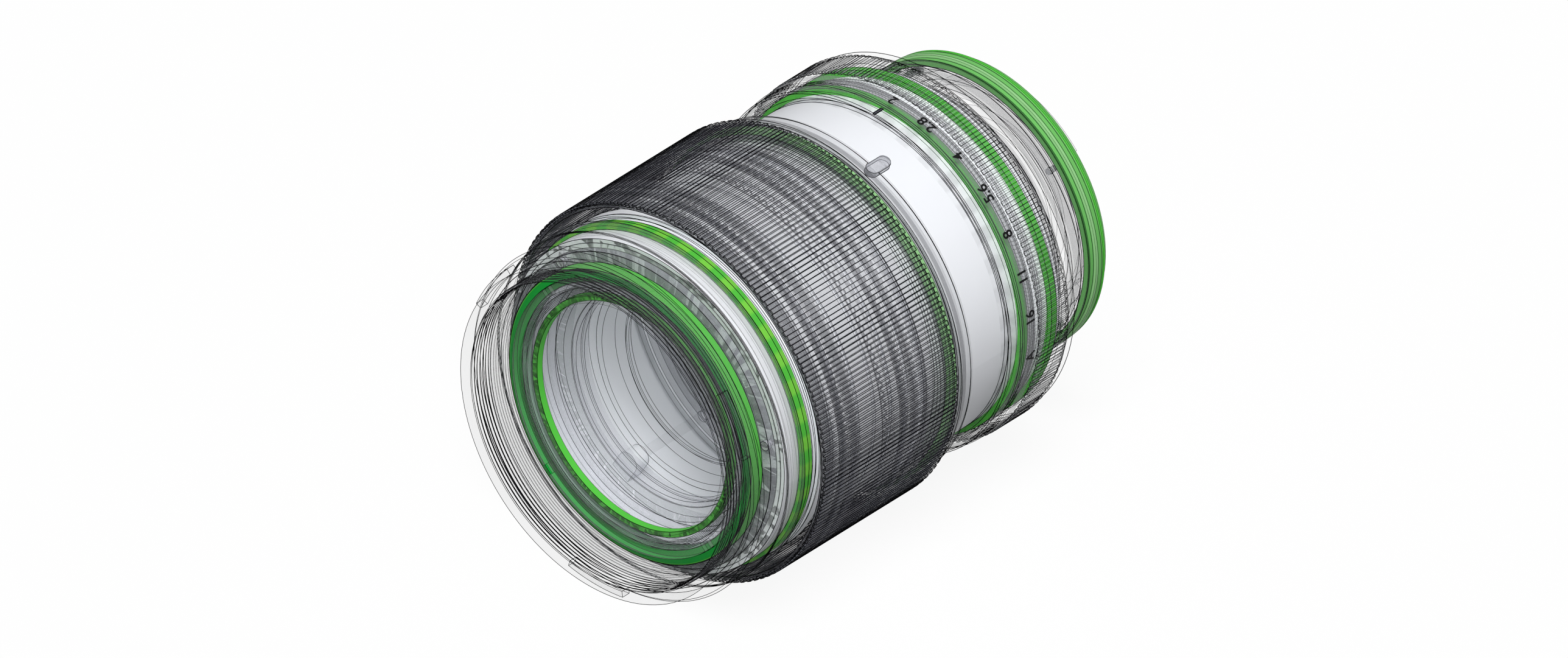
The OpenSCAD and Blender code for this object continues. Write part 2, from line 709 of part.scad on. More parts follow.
// Stations of the tube and what it carries
tube_e = rear_s + 0.7;
boss_s = tube_s + rod_boss_s;
boss_e = boss_s + rod_boss_l;
iris_s = tube_s + iris_l;
iris_base_e = iris_s + iris_base_t;
rear_seat_s = tube_e - rear_seat_l;
rear_seat_r = tube_bore_r + rear_seat_h;
cell_flange_s = tube_s - cell_flange_t;
front_band_s = focus_s + focus_band_place;
rear_band_s = focus_e - focus_rear_bore_l - focus_band_l - focus_rear_step;
focus_front_seal_s = front_barrel_e + 0.2;
focus_rear_seal_s = focus_e - 0.2 - focus_rear_seal_l;
front_aperture_seal_s = aperture_s + aperture_front_seal_s;
rear_aperture_seal_s = aperture_e - aperture_rear_seal_s - aperture_seal_l;
click_s = aperture_s + click_track_s;

// Places of the click ball and its spring, and of the barrel key
click_hole_r = click_ball_r + 0.1;
click_ball_place_r = click_track_r - fit - click_ball_r;
click_spring_e = click_ball_place_r - click_ball_r;
click_spring_s = click_spring_e - click_spring_l;
key_s = fixed_s + key_place;
key_floor_r = fixed_r - key_depth;

// Stations in the front cell
cover_seal_s = cell_flange_s - cover_seal_l;
cell_s = cell_flange_s - cell_collar_l;
cell_e = tube_s + cell_tail_l;
retainer_s = cell_s - retainer_t;
element_seal_s = cell_s;
element_seal_e = element_seal_s + element_seal_l;
glass_1_s = element_seal_e + fit - sag(glass_1_front, element_seal_bore_r);
glass_1_e = glass_1_s + glass_1_t;
spacer_seat_s = glass_1_e + spacer_l;
glass_2_seat_s = spacer_seat_s + glass_2_bore_l;
glass_2_e = glass_2_seat_s - sag(glass_2_rear, glass_2_r - land);
glass_2_s = glass_2_e - glass_2_t;
glass_3_s = glass_2_e + air_2_3;
glass_3_e = glass_3_s + glass_3_t;
glass_3_lip_r = glass_3_r - 0.8;
glass_3_seat_s = glass_3_s + sag(glass_3_front, glass_3_lip_r) - cement;
glass_4_s = glass_3_e + cement;
glass_4_e = glass_4_s + glass_4_t;
glass_5_s = glass_4_e + air_4_5;
glass_5_e = glass_5_s + glass_5_t;
holder_s = cell_e - holder_l;
holder_lip_r = glass_5_r - 0.9;
holder_seat_s = glass_5_s + sag(glass_5_front, holder_lip_r) - cement;

// Stations in the iris
cover_s = iris_s - iris_cover_l;
drive_ring_s = cover_s + iris_cover_t + 0.1;
blade_stack_s = drive_ring_s + drive_ring_t + 0.25;
blade_turn = 2 * asin((blade_inner_r - iris_bore_r / aperture_ratio) / (2 * pivot_r));
ring_pitch_r = ring_teeth * gear_module / 2;
pinion_pitch_r = pinion_teeth * gear_module / 2;
pinion_place_r = ring_pitch_r + pinion_pitch_r;
tooth_root = 1.2 * gear_module;
drive_ring_r = ring_pitch_r - tooth_root;
drive_pin_place_r = pivot_r + blade_lever * cos(blade_turn / 2);
drive_pin_offset = atan(blade_lever * sin(blade_turn / 2) / drive_pin_place_r);
iris_motor_s = cover_s - iris_motor_l;
tooth_pitch = 360 / ring_teeth;

// Stations in the focus group
hub_s = iris_base_e + focus_group_s;
glass_6_seat_r = glass_6_r - 0.8;
glass_6_s = hub_s + 0.4 - sag(glass_6_front, glass_6_seat_r) + cement;
glass_6_e = glass_6_s + glass_6_t;
glass_7_s = glass_6_e + cement;
glass_7_e = glass_7_s + glass_7_t;
hub_r = glass_6_r + fit + hub_wall;
yoke_s = iris_base_e;
yoke_e = rear_seat_s;
yoke_end_t = 1.5;
coil_bore_place_r = plate_place_r - coil_gap;
coil_place_r = coil_bore_place_r - coil_t;
coil_bore_h = plate_t + 2 * coil_gap;
coil_h = coil_bore_h + 2 * coil_t;
coil_bore_w = plate_w + 2 * coil_gap;
magnet_place_r = coil_place_r + coil_h + coil_gap;
yoke_place_r = magnet_place_r + magnet_t;
rod_clocks = [rod_angle - 180, rod_angle];
motor_first = rod_clocks[0] + 45;

// Stations in the rear cell
rear_cell_s = rear_seat_s - rear_cell_front_l;
rear_cell_e = rear_seat_s + rear_cell_rear_l;
rear_lip_s = rear_seat_s - 0.75;
rear_lip_e = rear_lip_s + rear_lip_l;
glass_8_e = rear_lip_s + sag(glass_8_rear, rear_lip_r) - cement;
glass_8_s = glass_8_e - glass_8_t;
glass_9_s = rear_lip_e + sag(glass_9_front, glass_8_r - land) + cement;
glass_9_e = glass_9_s + glass_9_t;
glass_10_s = glass_9_e + cement;
glass_10_e = glass_10_s + glass_10_t;
baffle_s = glass_10_e - sag(glass_10_rear, baffle_clear_r) + cement;
glass_11_s = glass_10_e + 1.2;
glass_11_e = glass_11_s + glass_11_t;
glass_11_seat_s = glass_11_s + sag(glass_11_front, baffle_clear_r) - cement;
baffle_e = overall_l + baffle_reach;

// Stations in the rear barrel and the mount
board_seat_s = rear_s + cone_end_s;
board_seat_r = cone_end_r - rear_wall - 0.7;
neck_bore_r = neck_r - rear_wall;
inner_flange_s = rear_e - rear_inner_flange_t;
mount_seal_s = overall_l - fit - mount_seal_l;
mount_seal_bore_r = flange_r + 0.45;
flange_face_s = overall_l - flange_relief;
bayonet_e = overall_l + bayonet_l;
contact_foot_s = rear_e - contact_foot_t;
contact_block_e = overall_l + contact_reach;
flex_place_r = contact_foot_r - 1.4;
main_board_r = board_seat_r - fit;

function sag(surface, r) = abs(surface) - sqrt(surface * surface - r * r);

// Puts stations and radii into the lens's own frame
module on_axis() translate([0, -overall_l, 0]) rotate([-90, 0, 0]) children();

// Turns +X of the children to a clock angle
module at_clock(angle) rotate([0, 0, angle - 90]) children();

// A turned piece from its outline, as radius and station
module turned(outline) rotate_extrude() polygon(outline);

module ring(inner, outer, start, end) turned([[inner, start], [outer, start], [outer, end], [inner, end]]);

module disc(radius, start, end) translate([0, 0, start]) cylinder(r = radius, h = end - start);

// A stretch of ring that spans an angle about a clock angle
module arc_piece(inner, outer, start, end, middle, span)
  at_clock(middle - span / 2)
    rotate_extrude(angle = span)
      polygon([[inner, start], [outer, start], [outer, end], [inner, end]]);

// A box whose near face stands at a radius, centred on its clock angle
module radial_box(inner, outer, width, start, end)
  translate([inner, -width / 2, start]) cube([outer - inner, width, end - start]);

// The space in front of or behind a lens surface that bulges out of the glass
module bulge(vertex, surface, edge_r, start, end) {
  if (surface == 0) disc(edge_r + over, start, end);
  else translate([0, 0, vertex + surface]) sphere(r = abs(surface), $fn = fine);
}

// A lens element between its two vertices
module element(front, rear, edge_r, front_surface, rear_surface) {
  edge_start = front_surface < 0 ? front - sag(front_surface, edge_r - land) : front;
  edge_end = rear_surface > 0 ? rear + sag(rear_surface, edge_r - land) : rear;
  difference() {
    intersection() {
      disc(edge_r, edge_start, edge_end);
      bulge(front, front_surface > 0 ? front_surface : 0, edge_r, edge_start - over, edge_end + over);
      bulge(rear, rear_surface < 0 ? rear_surface : 0, edge_r, edge_start - over, edge_end + over);
    }
    if (front_surface < 0)
      translate([0, 0, front + front_surface]) sphere(r = -front_surface, $fn = fine);
    if (rear_surface > 0) translate([0, 0, rear + rear_surface]) sphere(r = rear_surface, $fn = fine);
  }
}

// The outline across a ring of square ribs, with four points for each rib
function rib_outline(count, crest_r, floor_r) = [
  for (i = [0 : count - 1])
    for (corner = [[0, floor_r], [0, crest_r], [0.5, crest_r], [0.5, floor_r]])
      corner[1] * [cos((i + corner[0]) * 360 / count), sin((i + corner[0]) * 360 / count)]];

module filter_ring() {
  thread_s = rim_l - thread_l;
  color("white")
  on_axis() {
    difference() {
      turned([[thread_r, 0], [rim_r, 0], [rim_r, rim_l], [filter_spigot_r, rim_l],
        [filter_spigot_r, tube_s], [cell_flange_r + 2 * fit, tube_s],
        [cell_flange_r + 2 * fit, cell_flange_s], [cover_bore_r, cell_flange_s],
        [cover_bore_r, rim_l + name_l], [name_bore_r, rim_l + name_l], [name_bore_r, rim_l],
        [thread_r, rim_l]]);
      for (groove = [thread_s : thread_pitch : rim_l - thread_pitch])
        turned([[thread_r - over, groove - 0.1], [thread_r, groove - 0.1],
          [thread_r + thread_depth, groove + thread_pitch / 2 - 0.05],
          [thread_r, groove + thread_pitch - 0.2], [thread_r - over, groove + thread_pitch - 0.2]]);
    }
    for (i = [0 : hood_lugs - 1])
      arc_piece(rim_r - over, hood_lug_r, hood_lug_s, hood_lug_s + hood_lug_l,
        hood_lug_first + i * 360 / hood_lugs, hood_lug_angle);
  }
}

module name_ring() {
  outer = name_bore_r - fit;
  front_r = thread_r - 0.1;
  rear_r = cover_bore_r + fit;
  name_e = rim_l + name_l;
  step_r = (front_r - rear_r) / name_grooves;
  step_l = (name_l - 0.4) / name_grooves;
  teeth = [for (i = [name_grooves : -1 : 1])
    for (depth = [0, name_groove_depth]) [front_r - i * step_r - depth, rim_l + i * step_l]];
  color("gainsboro")
  on_axis()
    turned(concat([[front_r, rim_l], [outer, rim_l], [outer, name_e], [rear_r, name_e]], teeth));
}

module front_barrel() {
  line_s = rim_l + trim_line_s;
  color("whitesmoke")
  on_axis()
    turned([[filter_spigot_r + fit, rim_l], [barrel_r - barrel_chamfer, rim_l],
      [barrel_r, rim_l + barrel_chamfer], [barrel_r, line_s],
      [barrel_r - trim_line_depth, line_s], [barrel_r - trim_line_depth, line_s + trim_line_w],
      [barrel_r, line_s + trim_line_w], [barrel_r, front_barrel_e - barrel_chamfer],
      [barrel_r - barrel_chamfer, front_barrel_e], [tube_r + fit, front_barrel_e],
      [tube_r + fit, tube_s], [filter_spigot_r + fit, tube_s]]);
}

module front_cover_seal() {
  color("green")
  on_axis()
    turned([[cover_seal_bore_r, cell_s + fit], [retainer_brim_r + 2 * fit, cell_s + fit],
      [retainer_brim_r + 2 * fit, cover_seal_s - cover_seal_rise], [cover_seal_r, cover_seal_s],
      [cover_seal_r, cell_flange_s], [cover_seal_bore_r, cell_flange_s]]);
}

module front_retaining_ring() {
  tail_e = element_seal_e - 0.2;
  groove_r = element_seal_r + 0.2;
  color("dimgray")
  on_axis()
    difference() {
      turned([[front_bore_r, retainer_s], [retainer_brim_r, retainer_s], [retainer_brim_r, cell_s],
        [glass_1_r, cell_s], [glass_1_r, tail_e], [element_seal_r + fit, tail_e],
        [element_seal_r + fit, cell_s], [front_bore_r, cell_s]]);
      for (i = [0 : 3])
        at_clock(i * 90 + 40)
          radial_box(cell_collar_r - over, retainer_brim_r + over, key_slot_w, retainer_s - over,
            retainer_s + key_slot_depth);
      for (i = [0 : retainer_grooves - 1])
        ring(groove_r + i * retainer_groove_pitch, groove_r + i * retainer_groove_pitch + retainer_groove_w,
          retainer_s - over, retainer_s + retainer_groove_depth);
    }
}

module front_element_seal() {
  color("limegreen")
  on_axis() ring(element_seal_bore_r, element_seal_r, element_seal_s, element_seal_e);
}

module cell_screw_places() {
  for (i = [0 : cell_screws - 1])
    at_clock(cell_screw_first + i * 360 / cell_screws)
      translate([(cover_bore_r + cell_flange_r) / 2, 0, cell_flange_s]) children();
}

module front_cell() {
  color("lightsteelblue")
  on_axis()
    difference() {
      turned([[glass_1_r + fit, cell_s], [cell_collar_r, cell_s], [cell_collar_r, cell_flange_s],
        [cell_flange_r, cell_flange_s], [cell_flange_r, tube_s], [cell_r, tube_s],
        [cell_r, tube_s + cell_step_l], [cell_rear_r, tube_s + cell_step_l + cell_taper_l],
        [cell_rear_r, cell_e], [glass_3_r + fit, cell_e], [glass_3_r + fit, glass_3_seat_s],
        [glass_3_lip_r, glass_3_seat_s], [glass_3_lip_r, glass_3_seat_s - 0.8],
        [cell_clear_r, glass_3_seat_s - 0.8], [cell_clear_r, glass_2_seat_s],
        [glass_2_r + fit, glass_2_seat_s], [glass_2_r + fit, spacer_seat_s],
        [glass_1_r + fit, spacer_seat_s]]);
      cell_screw_places() {
        translate([0, 0, -over]) cylinder(r = cell_head_r + fit, h = cell_head_t + over);
        cylinder(r = cell_screw_r + fit, h = cell_flange_t + over);
      }
    }
}

module front_cell_screws() {
  color("silver")
  on_axis()
    cell_screw_places() {
      difference() {
        disc(cell_head_r, 0, cell_head_t);
        translate([-cell_head_r - over, -0.12, -over])
          cube([2 * (cell_head_r + over), 0.24, over + 0.3]);
      }
      disc(cell_screw_r, cell_head_t, cell_flange_t + tube_flange_t - over);
    }
}

module element_1() {
  color("lightcyan") on_axis() element(glass_1_s, glass_1_e, glass_1_r, glass_1_front, 0);
}

module front_cell_rings() {
  inner = glass_2_r - 0.9;
  color("slategray")
  on_axis() {
    ring(spacer_bore_r, glass_1_r, glass_1_e, spacer_seat_s);
    ring(inner, glass_2_r, spacer_seat_s + 0.2, glass_2_s + sag(glass_2_front, inner) - cement);
  }
}

module element_2() {
  color("lightcyan") on_axis() element(glass_2_s, glass_2_e, glass_2_r, glass_2_front, glass_2_rear);
}

module element_3() {
  color("lightcyan") on_axis() element(glass_3_s, glass_3_e, glass_3_r, glass_3_front, glass_3_rear);
}

module element_4() {
  color("lightcyan") on_axis() element(glass_4_s, glass_4_e, glass_3_r, glass_3_rear, glass_4_rear);
}

module element_5_holder() {
  color("slategray")
  on_axis()
    turned([[holder_lip_r, holder_s], [glass_3_r, holder_s], [glass_3_r, cell_e], [glass_5_r + fit, cell_e],
      [glass_5_r + fit, holder_seat_s], [holder_lip_r, holder_seat_s]]);
}

module element_5() {
  color("lightcyan") on_axis() element(glass_5_s, glass_5_e, glass_5_r, glass_5_front, glass_5_rear);
}

// The pocket for the click ball and its spring, at the bottom of the lens
module click_place(start) {
  at_clock(180) translate([start, 0, click_s]) rotate([0, 90, 0]) children();
}

module main_tube() {
  groove_r = tube_r - seal_groove;
  band_e = front_band_s + focus_band_l;
  grease_pitch = (rear_band_s - band_e) / (grease_grooves + 1);
  color("lavender")
  on_axis()
    difference() {
      union() {
        turned([[tube_flange_bore_r, tube_s], [tube_r, tube_s], [tube_r, tube_e],
          [rear_seat_r, tube_e], [rear_seat_r, rear_seat_s], [tube_bore_r, rear_seat_s],
          [tube_bore_r, iris_s], [iris_lip_r, iris_s], [iris_lip_r, cover_s - 0.5],
          [tube_bore_r, cover_s - 0.5], [tube_bore_r, tube_s + tube_flange_t],
          [tube_flange_bore_r, tube_s + tube_flange_t]]);
        for (start = [front_band_s, rear_band_s])
          ring(tube_r - over, focus_band_r, start, start + focus_band_l);
        click_place(click_spring_s - 0.8)
          cylinder(r = click_hole_r + 0.8, h = tube_bore_r + over - click_spring_s + 0.8);
        rod_places() {
          disc(rod_boss_r, boss_s, boss_e);
          radial_box(0, tube_bore_r + over - rod_place_r, 2 * rod_boss_r, boss_s, boss_e);
        }
      }
      ring(groove_r, tube_r + over, focus_front_seal_s, focus_front_seal_s + focus_front_seal_l);
      for (i = [1 : grease_grooves])
        ring(tube_r - grease_groove_depth, tube_r + over, band_e + i * grease_pitch,
          band_e + i * grease_pitch + grease_groove_w);
      for (start = [front_aperture_seal_s, rear_aperture_seal_s])
        ring(groove_r, tube_r + over, start, start + aperture_seal_l);
      click_place(click_spring_s) cylinder(r = click_hole_r, h = tube_r + over - click_spring_s);
      cell_screw_places() cylinder(r = cell_screw_r + fit, h = cell_flange_t + tube_flange_t + over);
      rod_places() disc(rod_r + cement, boss_s + 1, boss_e + over);
    }
}

module focus_front_seal() {
  color("limegreen")
  on_axis()
    ring(tube_r - seal_groove + cement, focus_front_seal_r, focus_front_seal_s + cement,
      focus_front_seal_s + focus_front_seal_l - cement);
}

module focus_rear_seal() {
  color("limegreen")
  on_axis()
    ring(fixed_spigot_r + cement, focus_rear_seal_r, focus_rear_seal_s,
      focus_rear_seal_s + focus_rear_seal_l);
}

module focus_sensor_board() {
  outer = tube_bore_r - fit;
  start = tube_s + tube_flange_t;
  color("darkslategray")
  on_axis() {
    arc_piece(outer - sensor_board_t, outer, start, start + sensor_board_l, sensor_board_angle,
      sensor_board_span);
    for (i = [0 : chips - 1])
      arc_piece(outer - sensor_board_t - chip_h, outer - sensor_board_t + 0.1, start + 1.2,
        start + sensor_board_l - 1.2,
        sensor_board_angle + (i - (chips - 1) / 2) * sensor_board_span / chips,
        0.6 * sensor_board_span / chips);
  }
}

module focus_ring() {
  bearing_r = focus_band_r + running;
  bore_s = focus_e - focus_rear_bore_l;
  grip_e = focus_e - focus_rear_lip_l;
  lip_r = focus_sleeve_r + focus_rear_lip_h;
  color("silver")
  on_axis()
    turned([[bearing_r, focus_s], [focus_r - 0.3, focus_s], [focus_r - 0.3, focus_s + focus_front_lip_l],
      [focus_sleeve_r, focus_s + focus_front_lip_l], [focus_sleeve_r, grip_e], [lip_r, grip_e],
      [lip_r, focus_e], [focus_rear_bore_r, focus_e], [focus_rear_bore_r, bore_s], [bearing_r, bore_s],
      [bearing_r, rear_band_s - 0.5], [focus_relief_r, rear_band_s - 0.5],
      [focus_relief_r, front_band_s + focus_band_l + 0.5],
      [bearing_r, front_band_s + focus_band_l + 0.5], [bearing_r, front_band_s - 0.4],
      [focus_stop_r, front_band_s - 0.4], [focus_stop_r, front_band_s - 1.4],
      [bearing_r, front_band_s - 1.4]]);
}

module focus_grip() {
  start = focus_s + focus_front_lip_l;
  end = focus_e - focus_rear_lip_l;
  color("gray")
  on_axis()
    translate([0, 0, start])
      linear_extrude(height = end - start)
        difference() {
          polygon(rib_outline(ribs, focus_r, rib_floor_r));
          circle(r = focus_sleeve_r + cement, $fn = fine);
        }
}

module iris_cover() {
  color("darkgray")
  on_axis()
    difference() {
      turned([[iris_bore_r, cover_s], [iris_cover_r, cover_s], [iris_cover_r, iris_s],
        [iris_cover_r - 0.8, iris_s], [iris_cover_r - 0.8, cover_s + iris_cover_t],
        [iris_bore_r, cover_s + iris_cover_t]]);
      at_clock(motor_angle)
        translate([pinion_place_r, 0, 0])
          disc(pinion_pitch_r + gear_module + 0.3, cover_s - over,
            drive_ring_s + drive_ring_t + 0.3);
      rod_places() disc(rod_r + fit, cover_s - over, cover_s + iris_cover_t + over);
    }
}

module iris_motor() {
  color("silver")
  on_axis()
    at_clock(motor_angle)
      translate([pinion_place_r, 0, 0]) {
        disc(iris_motor_r, iris_motor_s, cover_s);
        disc(0.4, cover_s - over, drive_ring_s - 0.05);
      }
}

// One straight-sided gear tooth, slim enough to leave backlash, on a pitch circle
module tooth(pitch_r) {
  tip = 0.8 * gear_module;
  polygon([[pitch_r - tooth_root - 0.1, -0.6 * gear_module], [pitch_r + tip, -0.28 * gear_module],
    [pitch_r + tip, 0.28 * gear_module], [pitch_r - tooth_root - 0.1, 0.6 * gear_module]]);
}

module iris_pinion() {
  color("goldenrod")
  on_axis()
    at_clock(motor_angle)
      translate([pinion_place_r, 0, drive_ring_s])
        linear_extrude(height = drive_ring_t)
          union() {
            circle(r = pinion_pitch_r - tooth_root);
            for (i = [0 : pinion_teeth - 1])
              rotate(180 + (i + 0.5) * 360 / pinion_teeth) tooth(pinion_pitch_r);
          }
}

// The drive ring stands at its widest aperture, at the start of its turn
module iris_drive_ring() {
  slot_r = blade_pin_r + 0.15;
  color("dimgray")
  on_axis()
    difference() {
      union() {
        ring(drive_ring_bore_r, drive_ring_r, drive_ring_s, drive_ring_s + drive_ring_t);
        translate([0, 0, drive_ring_s])
          linear_extrude(height = drive_ring_t)
            for (i = [-(sector_teeth - 1) / 2 : (sector_teeth - 1) / 2])
              rotate(motor_angle - 90 + i * tooth_pitch) tooth(ring_pitch_r);
      }
      for (i = [0 : blades - 1])
        rotate([0, 0, i * 360 / blades - drive_pin_offset])
          translate([0, 0, drive_ring_s - over]) {
            translate([drive_pin_place_r - 0.3, -slot_r, 0])
              cube([0.8, 2 * slot_r, drive_ring_t + 2 * over]);
            for (place = [drive_pin_place_r - 0.3, drive_pin_place_r + 0.5])
              translate([place, 0, 0]) cylinder(r = slot_r, h = drive_ring_t + 2 * over);
          }
    }
}

// A blade lies round the clear opening, turns about its rear pin and is pushed by its front pin
module iris_blade(index) {
  start = blade_stack_s + (index - 1) * blade_pitch;
  middle_r = (blade_inner_r + blade_outer_r) / 2;
  half_w = (blade_outer_r - blade_inner_r) / 2;
  color("black")
  on_axis()
    rotate([0, 0, (index - 1) * 360 / blades]) {
      translate([0, 0, start])
        linear_extrude(height = blade_t)
          union() {
            difference() {
              rotate_sector(blade_outer_r, 0, blade_span);
              circle(r = blade_inner_r);
            }
            rotate(blade_span) translate([middle_r, 0]) circle(r = half_w);
            translate([middle_r, 0]) circle(r = half_w);
            translate([middle_r, -1]) square([pivot_r - middle_r, 2]);
            translate([pivot_r, 0]) circle(r = 1.3);
            translate([pivot_r, 0]) rotate(-blade_turn / 2) {
              translate([0, -0.9]) square([blade_lever, 1.8]);
              translate([blade_lever, 0]) circle(r = 0.9);
            }
          }
      translate([pivot_r, 0, 0]) disc(blade_pin_r, start, iris_s + 1.0);
      translate([pivot_r, 0, 0])
        rotate([0, 0, -blade_turn / 2])
          translate([blade_lever, 0, 0]) disc(blade_pin_r, drive_ring_s + 0.1, start + blade_t);
    }
}

// A flat sector of a disc between two angles less than 180 degrees apart
module rotate_sector(radius, from, to) {
  intersection() {
    circle(r = radius);
    polygon([[0, 0], 2 * radius * [cos(from), sin(from)],
      2 * radius * [cos((from + to) / 2), sin((from + to) / 2)], 2 * radius * [cos(to), sin(to)]]);
  }
}

module iris_blade_1() iris_blade(1);
module iris_blade_2() iris_blade(2);
module iris_blade_3() iris_blade(3);
module iris_blade_4() iris_blade(4);
module iris_blade_5() iris_blade(5);
module iris_blade_6() iris_blade(6);
module iris_blade_7() iris_blade(7);

module iris_base() {
  color("darkgray")
  on_axis()
    difference() {
      ring(iris_bore_r, tube_bore_r - fit, iris_s, iris_base_e);
      for (i = [0 : blades - 1])
        rotate([0, 0, i * 360 / blades])
          translate([pivot_r, 0, iris_s - over]) cylinder(r = blade_pin_r + fit, h = over + 1.2);
      rod_places() disc(rod_r + cement, iris_s - over, iris_base_e + over);
    }
}

module rod_places() {
  for (clock = rod_clocks) at_clock(clock) translate([rod_place_r, 0, 0]) children();
}

module guide_rods() {
  color("silver") on_axis() rod_places() disc(rod_r, boss_s + 1, rear_seat_s + rear_flange_t);
}

// Places the children at each linear motor, with +X outwards
module motor_places() {
  for (i = [0 : motors - 1]) at_clock(motor_first + i * 360 / motors) children();
}

module motor_yokes() {
  color("silver")
  on_axis()
    motor_places() {
      radial_box(plate_place_r, plate_place_r + plate_t, plate_w, yoke_s, yoke_e);
      radial_box(yoke_place_r, yoke_place_r + plate_t, yoke_w, yoke_s, yoke_e);
      radial_box(plate_place_r, yoke_place_r + plate_t, plate_w, yoke_s, yoke_s + yoke_end_t);
      radial_box(plate_place_r, yoke_place_r + plate_t, plate_w, yoke_e - yoke_end_t, yoke_e);
    }
}

module motor_magnets() {
  color("slategray")
  on_axis()
    motor_places()
      radial_box(magnet_place_r, yoke_place_r, yoke_w, yoke_s + yoke_end_t + fit,
        yoke_e - yoke_end_t - fit);
}

module motor_coils() {
  color("peru")
  on_axis()
    motor_places()
      difference() {
        radial_box(coil_place_r, coil_place_r + coil_h, coil_bore_w + 2 * coil_t, hub_s,
          hub_s + coil_l);
        radial_box(coil_bore_place_r, coil_bore_place_r + coil_bore_h, coil_bore_w, hub_s - over,
          hub_s + coil_l + over);
      }
}

module focus_carrier() {
  arm_s = hub_s + 1.1;
  arm_e = arm_s + arm_t;
  inner = glass_6_r + fit;
  color("gainsboro")
  on_axis()
    difference() {
      union() {
        turned([[glass_6_seat_r, hub_s], [hub_r, hub_s], [hub_r, hub_s + hub_l],
          [inner, hub_s + hub_l], [inner, hub_s + 0.4], [glass_6_seat_r, hub_s + 0.4]]);
        motor_places() radial_box(inner + 0.4, coil_place_r, arm_w, arm_s, arm_e);
        at_clock(rod_clocks[0]) {
          radial_box(inner + 0.4, rod_place_r, arm_w - 2, arm_s, arm_e);
          translate([rod_place_r, 0, 0]) disc(sleeve_r, hub_s, hub_s + sleeve_l);
        }
        at_clock(rod_clocks[1])
          radial_box(inner + 0.4, rod_place_r + rod_r + 1, arm_w - 1, arm_s, arm_e);
      }
      at_clock(rod_clocks[0])
        translate([rod_place_r, 0, 0])
          disc(rod_r + rod_clearance, hub_s - over, hub_s + sleeve_l + over);
      at_clock(rod_clocks[1])
        radial_box(rod_place_r - rod_r - 0.3, rod_place_r + 2 * rod_r + 1,
          2 * (rod_r + rod_clearance), arm_s - over, arm_e + over);
    }
}

module element_6() {
  color("lightcyan") on_axis() element(glass_6_s, glass_6_e, glass_6_r, glass_6_front, glass_6_rear);
}

module element_7() {
  color("lightcyan") on_axis() element(glass_7_s, glass_7_e, glass_6_r, glass_6_rear, glass_7_rear);
}

module rear_cell() {
  bore = glass_8_r + fit;
  color("lightsteelblue")
  on_axis()
    difference() {
      turned([[bore, rear_cell_s], [rear_cell_r, rear_cell_s], [rear_cell_r, rear_seat_s],
        [rear_seat_r - fit, rear_seat_s], [rear_seat_r - fit, rear_seat_s + rear_flange_t],
        [rear_cell_r, rear_seat_s + rear_flange_t], [rear_cell_r, rear_cell_e], [bore, rear_cell_e],
        [bore, rear_lip_e], [rear_lip_r, rear_lip_e], [rear_lip_r, rear_lip_s], [bore, rear_lip_s]]);
      rod_places() disc(rod_r + cement, rear_seat_s - over, rear_seat_s + rear_flange_t + over);
    }
}

module element_8() {
  color("lightcyan") on_axis() element(glass_8_s, glass_8_e, glass_8_r, glass_8_front, glass_8_rear);
}

module element_9() {
  color("lightcyan") on_axis() element(glass_9_s, glass_9_e, glass_8_r, glass_9_front, glass_9_rear);
}

module element_10() {
  color("lightcyan") on_axis() element(glass_10_s, glass_10_e, glass_8_r, glass_9_rear, glass_10_rear);
}

module rear_baffle() {
  bore = glass_11_r + fit;
  step = (baffle_e - glass_11_e - 1) / 3;
  color("dimgray")
  on_axis()
    turned([[baffle_clear_r, baffle_s], [glass_8_r, baffle_s], [glass_8_r, rear_cell_e],
      [baffle_r, rear_cell_e], [baffle_r, baffle_e], [bore + 1.2, baffle_e],
      [bore + 1.2, baffle_e - step], [bore + 0.6, baffle_e - step],
      [bore + 0.6, baffle_e - 2 * step], [bore, baffle_e - 2 * step],
      [bore, glass_11_seat_s], [baffle_clear_r, glass_11_seat_s]]);
}

module element_11() {
  color("lightcyan")
  on_axis() element(glass_11_s, glass_11_e, glass_11_r, glass_11_front, glass_11_rear);
}

// The barrel key's shape, grown by a margin
module key_shape(margin, height) {
  straight_l = key_l - key_w;
  at_clock(key_angle)
    translate([key_floor_r, 0, key_s + key_w / 2])
      rotate([0, 90, 0]) {
        cylinder(r = key_w / 2 + margin, h = height);
        translate([-straight_l, 0, 0]) cylinder(r = key_w / 2 + margin, h = height);
        translate([-straight_l, -key_w / 2 - margin, 0]) cube([straight_l, key_w + 2 * margin, height]);
      }
}

module fixed_barrel() {
  band_r = fixed_r + fixed_band_h;
  seat_r = tube_r + fit;
  front_band_e = fixed_s + fixed_front_band_l;
  rear_band_s = fixed_e - fixed_rear_band_l;
  spigot_s = fixed_s - fixed_spigot_l - ring_gap;
  color("whitesmoke")
  on_axis()
    difference() {
      turned([[seat_r, spigot_s], [fixed_spigot_r, spigot_s], [fixed_spigot_r, fixed_s],
        [band_r - fixed_band_h, fixed_s], [band_r, fixed_s + fixed_band_h],
        [band_r, front_band_e - fixed_band_h], [fixed_r, front_band_e], [fixed_r, rear_band_s],
        [band_r, rear_band_s + fixed_band_h], [band_r, fixed_e], [seat_r, fixed_e],
        [seat_r, fixed_e - fixed_seat_l], [fixed_relief_r, fixed_e - fixed_seat_l],
        [fixed_relief_r, fixed_s + fixed_seat_l], [seat_r, fixed_s + fixed_seat_l]]);
      key_shape(fit, key_h + over);
      at_clock(0)
        radial_box(band_r - index_depth, band_r + over, index_w, fixed_e - index_l - 0.3,
          fixed_e - 0.3);
    }
}

module barrel_key() {
  color("silver") on_axis() key_shape(0, key_h);
}

